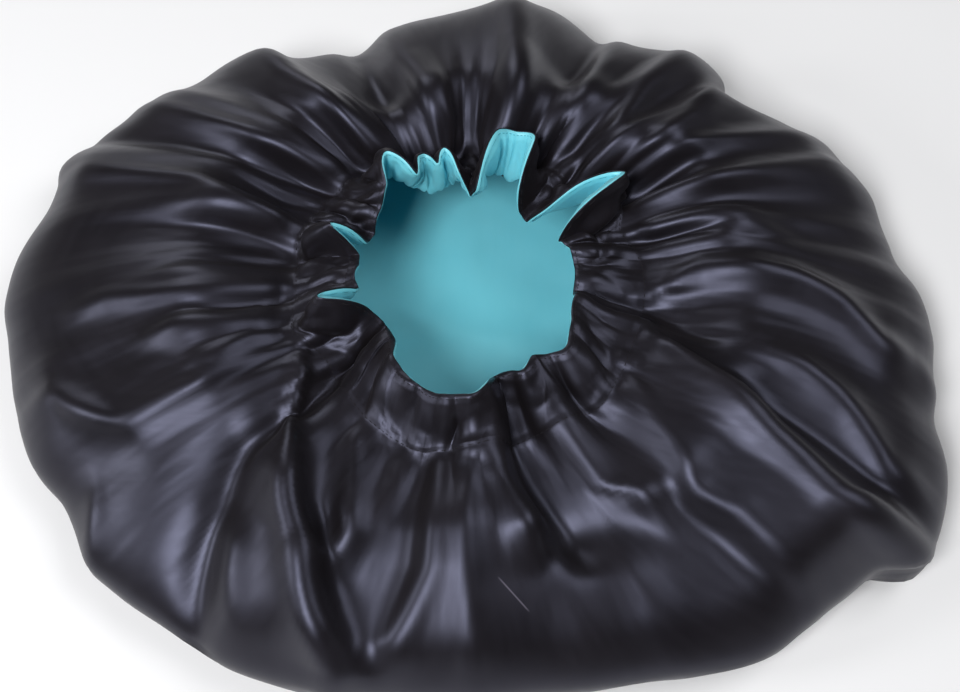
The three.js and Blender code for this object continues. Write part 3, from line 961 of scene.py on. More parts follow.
@dataclass
class Plies:
    """The two plies of satin, laid on both sides of the form, with the casing's puckers.

    Attributes:
        form: The shape midway between the plies.
        gathering: What buckles the body.
        thickness: A ply's thickness.
        half_gap: Half of the space between the plies.
        lowest: The least height of the middle surface.
        elastic_thickness: The elastic's thickness with its play.
        lap_columns: How many columns the elastic's lap is long.
        lap_lead: How many columns before the lap the lining begins to rise over it.
        lap_trail: How many columns past the lap it begins to sink.
        lap_slope: Over how many columns it rises or sinks.
        band_slope: The share of the casing over which the elastic's room opens at its rows.
        pucker_height: The height of the casing's puckers.
        pucker_power: The power of the sine by which they swell across the casing.
        held_share: The share of their height that is left at the rows of stitching.
        lobe_middle: The share of the casing at which the near side's lobes are highest.
        lobe_reach: How far from there they reach, in casing widths.
        outer_waves: The counts of waves of the outer ply's puckers, as Creasing takes them.
        outer_speed: How fast these change across the casing.
        lining_waves: The counts of waves of the lining's puckers.
        lining_speed: How fast these change.
        stitch_inset: How far the rows of stitching lie inside the casing's edges.
        crown_ripple: The height of the ripples on the lining's crown.
        ripple_rates: In radians a metre, the first ripple's way across and its bending, and the
            second one's way up and across.
        ripple_swing: How far the first one is bent, in radians.
        ripple_end: The share of the underside at which they end, and over what before it.
        flap_clearance: How far the body stays under a flap of the casing.
        flap_ease: The distance from the gather line over which that clearance comes in.
        flap_slope: The steepest flap that counts.
        flap_run: How far past the rim a flap counts in full, and over what distance it fades.
        least_lean: The least lean outwards that gives a flap its slope.
        drop_reach: Over how many columns to each side a drop's maximum is taken, and its mean.
        least_way_out: The least distance outside the gather line, as a share of the plain one.
        rounding_passes: How often the valley along the gather line is softened.
        rounding_rows: Over how many rows the softening fades on each side of it.
        rounding_reach: How far out it ends, over that many rows.
        first_buckled: The share of the underside from which the body buckles.
        buckle_softening: How often the buckled body is softened along its columns.
        under_creases: The share of the underside from which creases lift it, and over what.
        casing_fade: How much lower the creases are at the opening's edge, as a share.
        upright: What the upward part of a normal is divided by, and what is added to it, before
            its smooth step scales the creases.
        run_on_scale: How many casing widths the body counts as for the folds that run on.
        pucker_scale: The same for the puckers.
        crest_passes: How often the middle surface is softened to find its crests.
        lips: How far the edges of the outer ply and the lining stand past the middle surface's,
            in thicknesses.
        lip_rise: How far an edge's outer point lies off that surface, in thicknesses.
        lip_round: How much further its inner point reaches, in thicknesses.
        even_rows: The shares at which the underside's even rows start and end.
        rolled_rows: The underside's last rows, closer together where it rolls up.
        top_crowding: The power that crowds the top's rows near the outer fold.
        underside_rows: How many rows the underside has.
        top_rows: How many rows the top has.
        casing_rows: How many rows the casing has.
    """

    form: BonnetForm
    gathering: Gathering = field(default_factory=Gathering)
    thickness: float = 0.4 * MM
    half_gap: float = 0.2 * MM
    lowest: float = 0.7 * MM
    elastic_thickness: float = 1.2 * MM
    lap_columns: int = 28
    lap_lead: int = 14
    lap_trail: int = 4
    lap_slope: int = 8
    band_slope: float = 0.03
    pucker_height: float = 3.8 * MM
    pucker_power: float = 0.6
    held_share: float = 0.12
    lobe_middle: float = 0.3
    lobe_reach: float = 1.3
    outer_waves: tuple[int, int] = (14, 34)
    outer_speed: float = 3.6
    lining_waves: tuple[int, int] = (36, 76)
    lining_speed: float = 1.5
    stitch_inset: float = 1.2 * MM
    crown_ripple: float = 2.2 * MM
    ripple_rates: tuple[float, float, float, float] = (70.0, 9.0, 95.0, 40.0)
    ripple_swing: float = 25.0
    ripple_end: tuple[float, float] = (0.8, 0.15)
    flap_clearance: float = 3.5 * MM
    flap_ease: float = 4 * MM
    flap_slope: float = 8.0
    flap_run: tuple[float, float] = (3 * MM, 8 * MM)
    least_lean: float = 0.1 * MM
    drop_reach: tuple[int, int] = (2, 3)
    least_way_out: float = 0.55
    rounding_passes: int = 130
    rounding_rows: int = 12
    rounding_reach: float = 1.6
    first_buckled: float = 0.7
    buckle_softening: int = 6
    under_creases: tuple[float, float] = (0.75, 0.25)
    casing_fade: float = 0.5
    upright: tuple[float, float] = (0.5, 0.3)
    run_on_scale: float = 3.0
    pucker_scale: float = 3.5
    crest_passes: int = 6
    lips: tuple[float, float] = (0.9, 0.1)
    lip_rise: float = 0.95
    lip_round: float = 0.4
    even_rows: tuple[float, float] = (0.03, 0.86)
    rolled_rows: tuple[float, ...] = (0.9, 0.94, 0.968, 0.987, 0.997)
    top_crowding: float = 1.3
    underside_rows: int = 18
    top_rows: int = 60
    casing_rows: int = 22

    def __post_init__(self) -> None:
        """Works out the rows of the cloth, from the crown to the opening's edge.

        The body is gathered, the casing set on it, and the creases are lifted along the normals,
        less where the cloth stands upright.
        """
        even = np.linspace(*self.even_rows, self.underside_rows - len(self.rolled_rows))
        self.under_shares = np.concatenate([even, self.rolled_rows])
        self.top_shares = 1 - np.linspace(0, 1, self.top_rows) ** self.top_crowding
        self.casing_shares = np.linspace(0, 1, self.casing_rows + 1)[1:]
        form = self.form
        body = np.concatenate([form.underside(self.under_shares), form.top(self.top_shares)])
        body = self.gather(body)
        self.gather_row = len(body) - 1
        mid = np.concatenate([body, form.casing(self.casing_shares, body[-1])])
        top = form.creases(self.top_shares) + form.run_on(self.top_shares * self.run_on_scale)
        under = top[0] * ramp(self.under_shares, self.under_creases)[:, None]
        at_gather = form.creases(np.zeros(self.casing_rows))
        casing = at_gather * (1 - self.casing_fade * self.casing_shares)[:, None]
        lift = np.concatenate([under, top, casing + form.run_on(self.casing_shares)])
        mid = self.round_over(mid)
        normals = grid_normals(mid)
        divisor, least = self.upright
        level = np.abs(normals[: self.gather_row, :, 2])
        lift[: self.gather_row] *= smooth(level / divisor + least)
        self.mid = self.clear_flaps(softened(mid + normals * lift[..., None], 2))
        self.mid[..., 2] = np.maximum(self.mid[..., 2], self.lowest)
        self.normals = grid_normals(self.mid)
        self.pattern = flat_pattern(self.mid)

    def gather(self, body: Array) -> Array:
        """The body's rows with the outer ones buckled by the relaxation.

        Args:
            body: The form's rows, from the crown to the gather line.

        Returns:
            The same rows, buckled from the crown's edge on.
        """
        began = time.perf_counter()
        first = int(np.searchsorted(self.under_shares, self.first_buckled))
        share = np.concatenate([np.ones(len(self.under_shares)), self.top_shares])[first:]
        loose = np.ones(len(share))
        loose[[0, 1, -1]] = 0.0
        lively = self.form.liveliness.read(self.form.degrees)
        buckled = self.gathering.relax(body[first:], share, loose, lively)
        for _ in range(self.buckle_softening):
            buckled[1:-1] = inner_means(buckled)
        LOG.info("gathered in %.1f s", time.perf_counter() - began)
        return np.concatenate([body[:first], buckled])

    def round_over(self, mid: Array) -> Array:
        """Fills the valley along the gather line where the folds run on to the rim.

        Args:
            mid: Points by row and column.

        Returns:
            The points, softened up and down their columns near the gather line.
        """
        row = np.arange(len(mid))[1:-1, None]
        away = np.abs(row - self.gather_row) / self.rounding_rows
        near = smooth(self.rounding_reach - away)
        share = (near * self.form.lobes.read(self.form.degrees)[None])[..., None]
        mid = mid.copy()
        for _ in range(self.rounding_passes):
            mid[1:-1] += (inner_means(mid) - mid[1:-1]) * share
        return mid

    def clear_flaps(self, mid: Array) -> Array:
        """Keeps the body out of the opening, and lowers it where the casing leans out over it.

        A point stays at least a share of its plain distance outside the gather line. The flap
        over a point is as high as the straight line up the casing at that distance, and fades out
        past the rim. The drop is spread over its neighbours by a maximum and a mean.

        Args:
            mid: Points by row and column.

        Returns:
            The points, the body's moved outwards and lowered.
        """
        gather, rim = mid[self.gather_row], mid[-1]
        out = rim[:, :2] - gather[:, :2]
        outwards = unit(gather[:, :2] - np.array([0.0, self.form.gather_set_back]))
        lean = np.sum(out * outwards, axis=-1)
        slope = (rim[:, 2] - gather[:, 2]) / np.maximum(lean, self.least_lean)
        slope = np.clip(slope, 0.0, self.flap_slope)
        top = slice(len(self.under_shares), self.gather_row)
        mid = mid.copy()
        away = np.einsum("ijk,jk->ij", mid[top, :, :2] - gather[None, :, :2], outwards)
        plain = np.linalg.norm(self.form.outer_points() - self.form.gather_points(), axis=-1)
        least = self.least_way_out * self.top_shares[:-1, None] * plain[None]
        mid[top, :, :2] += np.clip(least - away, 0, None)[..., None] * outwards[None]
        away = np.maximum(away, least)
        clearance = self.flap_clearance * smooth(away / self.flap_ease)
        flap = gather[None, :, 2] + away * slope - clearance
        beyond = ramp(away - lean, self.flap_run)
        drop = np.clip(mid[top, :, 2] - flap, 0, None) * (lean > 0) * (1 - beyond)
        for join, reach in zip((np.max, np.mean), self.drop_reach, strict=True):
            drop = join([np.roll(drop, k, axis=1) for k in range(-reach, reach + 1)], axis=0)
        mid[top, :, 2] -= drop
        return mid

    def puckers(self, side: Side, place: Array) -> Array:
        """How far a ply's cloth puffs off the elastic and beside it, by row and column.

        The puffs are lens-shaped, between sharp valleys. Across the casing they swell as a power
        of a sine between the rows of stitching, where little of them is left. The outer ply's
        lobes on the near side run on over the gather line.

        Args:
            side: The ply whose puffs are wanted.
            place: Distances from the gather line as shares of the casing's width, one a row.

        Returns:
            Heights in metres over the rows.
        """
        outer = side is Side.OUTSIDE
        seed = self.form.seed + (3 if outer else 13)
        waves = self.outer_waves if outer else self.lining_waves
        speed = self.outer_speed if outer else self.lining_speed
        fine = Creasing(seed, waves=waves, count=4, bend=1.0, speed=speed)
        coarse = Creasing(seed + 1, waves=(5, 12), count=4, bend=0.5, speed=1.0)
        between = self.stitch_inset / self.form.casing_width
        across = np.clip((place - between) / (1 - 2 * between), 0, 1)
        swell = raised(self.held_share, np.sin(np.pi * across) ** self.pucker_power) * (place > 0)
        lobes = self.form.lobes.read(self.form.degrees)[None]
        run = (1 - smooth(np.abs(place - self.lobe_middle) / self.lobe_reach))[:, None] * lobes
        puffs = self.form.puffs(place, fine, coarse)
        return self.pucker_height * puffs * np.maximum(swell[:, None], run * outer)

    def lap(self) -> Array:
        """How far the elastic's second layer pushes the lining away, by column.

        It is the elastic's thickness along the lap, with a smooth step before and after it.

        Returns:
            Distances in metres.
        """
        after = turned(self.form.degrees, 0.0) / (FULL_CIRCLE / self.form.columns)
        rising = smooth((after + self.lap_lead) / self.lap_slope)
        sinking = smooth((after - self.lap_columns - self.lap_trail) / self.lap_slope)
        return self.elastic_thickness * rising * (1 - sinking)

    def offsets(self, side: Side) -> Array:
        """How far a ply's shown face lies off the form, by row and column.

        Args:
            side: The ply.

        Returns:
            Distances in metres along the form's normals.
        """
        away = np.full(self.mid.shape[:2], self.thickness + self.half_gap)
        across = self.casing_shares
        between = self.stitch_inset / self.form.casing_width
        lower = smooth((across - between) / self.band_slope)
        upper = smooth((1 - between - across) / self.band_slope)
        band = self.elastic_thickness / 2
        if side is Side.INSIDE:
            band = band + self.lap()[None]
        away[self.gather_row + 1 :] += band * (lower * upper)[:, None]
        place = np.concatenate([self.top_shares * -self.pucker_scale, across])
        away[len(self.under_shares) :] += self.puckers(side, place)
        return away

    def ripple_crown(self, rows: Array) -> Array:
        """The lining with soft ripples on its crown.

        They are the sum of a sine across, bent by another, and a sine that runs aslant. They fade
        towards the crown's edge.

        Args:
            rows: The lining's shown face at its plain distance.

        Returns:
            The rippled rows.
        """
        rippled = rows.copy()
        under = len(self.under_shares)
        x, y = rows[:under, :, 0], rows[:under, :, 1]
        across, bending, up, aslant = self.ripple_rates
        bent = np.sin(across * x + self.ripple_swing * np.sin(bending * y) + 1.0)
        wave = bent + np.sin(up * y - aslant * x + 2.0)
        end, run = self.ripple_end
        fades = smooth((end - self.under_shares) / run)[:, None]
        rippled[:under, :, 2] += self.crown_ripple * fades * (wave / 4 + 0.5)
        return rippled

    def face(self, side: Side) -> Array:
        """The shown face of a ply, with its edge turned in at the opening.

        The lining keeps off the crests of the middle surface. The outer ply's edge stands higher
        than the lining's, so that it frames the opening.

        Args:
            side: The ply.

        Returns:
            Points by row and column.
        """
        rows = self.mid + side.value * self.offsets(side)[..., None] * self.normals
        if side is Side.INSIDE:
            low = softened(self.mid, self.crest_passes)
            crest = np.sum((self.mid - low) * self.normals, axis=-1)
            rows = rows - np.clip(crest, 0, None)[..., None] * self.normals
            rows = self.ripple_crown(rows)
        out = unit(self.mid[-1] - self.mid[-2])
        way = side.value * self.normals[-1]
        beyond = self.thickness * self.lips[0 if side is Side.OUTSIDE else 1]
        lips = [
            self.mid[-1] + way * self.thickness * self.lip_rise + out * beyond,
            self.mid[-1] + way * self.half_gap + out * (beyond + self.thickness * self.lip_round),
        ]
        return np.concatenate([rows, np.stack(lips)])

    def build(self, side: Side, name: str) -> bpy.types.Object:
        """One ply as an object: its shown face, closed at the crown and given its thickness.

        Args:
            side: The ply.
            name: The piece's name.

        Returns:
            The object.
        """
        rows = self.face(side)
        count, columns = rows.shape[:2]
        pattern = np.concatenate([self.pattern, self.pattern[-1:], self.pattern[-1:]])
        middle = rows[0].mean(axis=0, keepdims=True)
        points = np.concatenate([rows.reshape(-1, 3), middle])
        uv = np.concatenate([pattern.reshape(-1, 2), np.zeros((1, 2))])
        around = np.arange(columns)
        after = (around + 1) % columns
        pole = np.full(columns, len(points) - 1)
        fan = np.stack([pole, after, around, np.full(columns, -1)], axis=-1)
        quads = grid_faces(count, columns)
        if side is Side.INSIDE:
            quads, fan = quads[:, ::-1], fan[:, [0, 2, 1, 3]]
        made = new_object(name, points, np.concatenate([quads, fan]), uv)
        wall = made.modifiers.new("cloth thickness", "SOLIDIFY")
        wall.thickness = self.thickness
        wall.offset = -1.0
        return made

    def on_casing(self, grid: Array, place: Array | float, column: Array) -> Array:
        """Values at places across the casing and round it, mixed from the four around each.

        Args:
            grid: Values by row and column over the whole ply.
            place: Distances from the gather line.
            column: Columns, whole or not.

        Returns:
            The values there.
        """
        row = self.gather_row + np.asarray(place) / self.form.casing_width * self.casing_rows
        low, left = np.floor(row).astype(int), np.floor(column).astype(int)
        v, u = (row - low)[..., None], (column - left)[..., None]
        left, right = left % self.form.columns, (left + 1) % self.form.columns
        near = grid[low, left] * (1 - u) + grid[low, right] * u
        far = grid[low + 1, left] * (1 - u) + grid[low + 1, right] * u
        return near * (1 - v) + far * v


@dataclass
class Stitching:
    """The rows of stitching round the casing, and the seam inside its edge.

    Attributes:
        plies: The plies that carry them.
        thread_diameter: The thread's thickness.
        seam_thickness: The thickness of the seam's thread, which is drawn tight.
        stitch_columns: A stitch's pitch in columns.
        gap_columns: How much of the pitch lies between two stitches.
        stitch_points: How many points a stitch has along it.
        arch_rise: How high a stitch is arched, in half thread diameters.
        arch_sunk: How deep its ends lie in the cloth, in the same.
        end_share: The thickness of its ends over that of its middle.
        closing_inset: How far the closing row lies inside the opening's edge.
        closing_start: The closing row's first column.
        closing_stitches: How many stitches it has.
    """

    plies: Plies
    thread_diameter: float = 0.36 * MM
    seam_thickness: float = 0.3 * MM
    stitch_columns: float = 2.0
    gap_columns: float = 0.55
    stitch_points: int = 5
    arch_rise: float = 1.1
    arch_sunk: float = 0.9
    end_share: float = 0.55
    closing_inset: float = 3.2 * MM
    closing_start: float = 240.0
    closing_stitches: int = 17

    def row(
        self, name: str, side: Side, place: float, start: float, count: int
    ) -> bpy.types.Object:
        """A row of stitches. Each is an arch of thread, 1 - (2t - 1)^4 high over its length t.

        Its ends are thinner and sink into the cloth.

        Args:
            name: The piece's name.
            side: The ply that it shows on.
            place: The distance from the gather line.
            start: The first stitch's column.
            count: How many stitches there are.

        Returns:
            The object.
        """
        t = np.linspace(0, 1, self.stitch_points)
        begin = start + np.arange(count)[:, None] * self.stitch_columns
        column = begin + t[None] * (self.stitch_columns - self.gap_columns)
        grid = self.plies.face(side)
        path = self.plies.on_casing(grid, place, column)
        up = unit(side.value * self.plies.on_casing(self.plies.normals, place, column))
        radius = self.thread_diameter / 2
        arch = 1 - (2 * t - 1) ** 4
        path = path + up * (radius * (self.arch_rise * arch - self.arch_sunk))[None, :, None]
        thick = radius * raised(self.end_share, arch)
        points, faces = tubes(path, up, thick, thick)
        return new_object(name, points, faces)

    def loop(self, name: str, place: float) -> bpy.types.Object:
        """The seam between the plies, one thread round the opening that ends a stitch short.

        Args:
            name: The piece's name.
            place: The distance from the gather line.

        Returns:
            The object.
        """
        column = np.arange(0, self.plies.form.columns, self.stitch_columns)
        path = self.plies.on_casing(self.plies.mid, place, column)[None]
        up = self.plies.on_casing(self.plies.normals, place, column)[None]
        thick = np.full(len(column), self.seam_thickness / 2)
        points, faces = tubes(path, up, thick, thick)
        return new_object(name, points, faces)


@dataclass
class Elastic:
    """The strip of elastic in the casing, whose second end is lapped over the first.

    Attributes:
        plies: The plies that hold it.
        width: The strip's width.
        thickness: Its thickness.
        groove_depth: How much thinner it is between its ribs, as a share.
        rib_stations: How many points its section has on each side.
        step_lead: How many columns before the lap the strip steps towards the lining.
        step_columns: Over how many columns it does.
        zigzag_turns: How often the zigzag crosses.
        zigzag_columns: The columns between which it swings.
        zigzag_across: Where it starts, and how far it goes, in strip widths.
        zigzag_points: How many points the thread has each time it crosses.
        thread_diameter: Its thickness.
        thread_sunk: How deep its middle lies in the strip, in thread diameters.
        thread_flat: Its height over its width.
    """

    plies: Plies
    width: float = 25.0 * MM
    thickness: float = 1.0 * MM
    groove_depth: float = 0.12
    rib_stations: int = 9
    step_lead: float = 9.0
    step_columns: float = 7.0
    zigzag_turns: int = 9
    zigzag_columns: tuple[float, float] = (9.0, 17.0)
    zigzag_across: tuple[float, float] = (0.08, 0.84)
    zigzag_points: int = 8
    thread_diameter: float = 0.4 * MM
    thread_sunk: float = 0.1
    thread_flat: float = 0.7

    def __post_init__(self) -> None:
        """Centres the strip in the casing."""
        self.margin = (self.plies.form.casing_width - self.width) / 2

    def depth(self, column: Array) -> Array:
        """How far towards the lining the strip lies: a step just before its lap begins."""
        after = column - self.plies.form.columns + self.step_lead
        return self.plies.elastic_thickness * smooth(after / self.step_columns)

    def strip(self, name: str) -> bpy.types.Object:
        """The strip: a flat section, ribbed lengthwise, carried once round and over the lap.

        Args:
            name: The piece's name.

        Returns:
            The object.
        """
        column = np.arange(self.plies.form.columns + self.plies.lap_columns + 1).astype(float)
        across = self.margin + np.linspace(0, 1, self.rib_stations) * self.width
        places = (across[:, None], column[None])
        out = unit(self.plies.on_casing(self.plies.normals, *places))
        mid = self.plies.on_casing(self.plies.mid, *places)
        mid = mid - out * self.depth(column)[None, :, None]
        half = self.thickness / 2 * (1 - self.groove_depth * (np.arange(self.rib_stations) % 2))
        half[[0, -1]] = self.thickness / 4
        lower = mid - out * half[:, None, None]
        upper = mid + out * half[:, None, None]
        section = np.concatenate([upper, lower[::-1]]).transpose(1, 0, 2)
        stations, ring = section.shape[:2]
        walls = grid_faces(stations, ring)
        upper_side = np.arange(self.rib_stations - 1)
        lower_side = ring - 1 - upper_side
        cap = np.stack([upper_side, upper_side + 1, lower_side - 1, lower_side], axis=-1)
        start = cap[:, ::-1]
        stop = cap + (stations - 1) * ring
        faces = np.concatenate([walls, start, stop])
        run = np.linalg.norm(np.diff(mid[self.rib_stations // 2], axis=0), axis=-1)
        u = np.concatenate([[0], np.cumsum(run)])
        v = np.concatenate([across, across[::-1]])
        uv = np.stack(np.broadcast_arrays(u[:, None], v[None]), axis=-1)
        return new_object(name, section, faces, uv)

    def lap_zigzag(self, name: str) -> bpy.types.Object:
        """The zigzag that joins the lapped ends: a thread whose column swings as it crosses.

        Args:
            name: The piece's name.

        Returns:
            The object.
        """
        t = np.linspace(0, 1, self.zigzag_points * self.zigzag_turns + 1)
        low, high = self.zigzag_columns
        start, run = self.zigzag_across
        swing = np.abs(np.mod(t * self.zigzag_turns, 2) - 1)
        column = low + (high - low) * swing
        place = self.margin + self.width * (start + run * t)
        up = unit(self.plies.on_casing(self.plies.normals, place, column))
        depth = self.plies.elastic_thickness + self.thickness / 2
        path = self.plies.on_casing(self.plies.mid, place, column)
        path = path - up * (depth - self.thread_diameter * self.thread_sunk)
        thick = np.full(len(t), self.thread_diameter / 2)
        points, faces = tubes(path[None], -up[None], thick, thick * self.thread_flat)
        return new_object(name, points, faces)


@dataclass
class Socket:
    """A node's output, on which Python's operators add Math nodes."""

    tree: bpy.types.NodeTree
    link: bpy.types.NodeSocket

    def _math(
        self, operation: str, *others: "Socket | float", first: float | None = None
    ) -> "Socket":
        """Adds one Math node.

        Args:
            operation: The node's operation.
            others: What follows this socket in it.
            first: A number that comes before this socket.

        Returns:
            The node's result.
        """
        node = self.tree.nodes.new("ShaderNodeMath")
        node.operation = operation
        values = [self, *others] if first is None else [first, self, *others]
        for socket, value in zip(node.inputs, values, strict=False):
            if isinstance(value, Socket):
                self.tree.links.new(value.link, socket)
            else:
                socket.default_value = value
        return Socket(self.tree, node.outputs[0])

    def __add__(self, other: "Socket | float") -> "Socket":
        """The sum."""
        return self._math("ADD", other)

    __radd__ = __add__

    def __sub__(self, other: "Socket | float") -> "Socket":
        """The difference."""
        return self._math("SUBTRACT", other)

    def __rsub__(self, other: float) -> "Socket":
        """The difference from a number."""
        return self._math("SUBTRACT", first=other)

    def __mul__(self, other: "Socket | float") -> "Socket":
        """The product."""
        return self._math("MULTIPLY", other)

    __rmul__ = __mul__

    def __truediv__(self, other: "Socket | float") -> "Socket":
        """The quotient."""
        return self._math("DIVIDE", other)

    def __pow__(self, other: float) -> "Socket":
        """The power."""
        return self._math("POWER", other)

    def sine(self) -> "Socket":
        """The sine, in radians."""
        return self._math("SINE")

    def absolute(self) -> "Socket":
        """The absolute value."""
        return self._math("ABSOLUTE")

    def clamped(self) -> "Socket":
        """The value held between 0 and 1.

        Returns:
            The held value.
        """
        made = self._math("MULTIPLY", 1.0)
        made.link.node.use_clamp = True
        return made


@dataclass
class Shader:
    """A material under construction, with one method for every kind of node."""

    name: str

    def __post_init__(self) -> None:
        """Makes the material, empty but for its output."""
        self.material = bpy.data.materials.new(self.name)
        self.material.use_nodes = True
        self.tree = self.material.node_tree
        self.tree.nodes.clear()

    def add(
        self,
        kind: str,
        output: int | str = 0,
        settings: Mapping[str, object] | None = None,
        **inputs: object,
    ) -> Socket | None:
        """Adds one node.

        Args:
            kind: The node's type.
            output: Which of its outputs is wanted.
            settings: The node's own properties, set first.
            inputs: Values or links of its sockets, by name with _ for a space, or by in0, in1.

        Returns:
            The wanted output, or nothing where the node has none.
        """
        node = self.tree.nodes.new(kind)
        for key, value in (settings or {}).items():
            setattr(node, key, value)
        for key, value in inputs.items():
            numbered = key[:2] == "in" and key[2:].isdigit()
            socket = node.inputs[int(key[2:]) if numbered else key.replace("_", " ")]
            if isinstance(value, Socket):
                self.tree.links.new(value.link, socket)
            elif socket.type == "RGBA":
                socket.default_value = (*value, 1.0)
            else:
                socket.default_value = value
        return Socket(self.tree, node.outputs[output]) if len(node.outputs) else None

    def split(self, vector: Socket) -> tuple[Socket, Socket, Socket]:
        """The three parts of a vector."""
        parts = self.add("ShaderNodeSeparateXYZ", Vector=vector)
        return tuple(Socket(self.tree, out) for out in parts.link.node.outputs)

    def mix(self, share: Socket, low: Colour | Socket, high: Colour | Socket) -> Socket:
        """A colour between two, by a share."""
        settings = {"data_type": "RGBA", "clamp_factor": True}
        return self.add("ShaderNodeMix", 2, settings, in0=share, in6=low, in7=high)

    def finish(self, surface: Socket) -> bpy.types.Material:
        """Links the surface to the output.

        Args:
            surface: The shader that the surface gets.

        Returns:
            The material.
        """
        self.add("ShaderNodeOutputMaterial", Surface=surface)
        return self.material


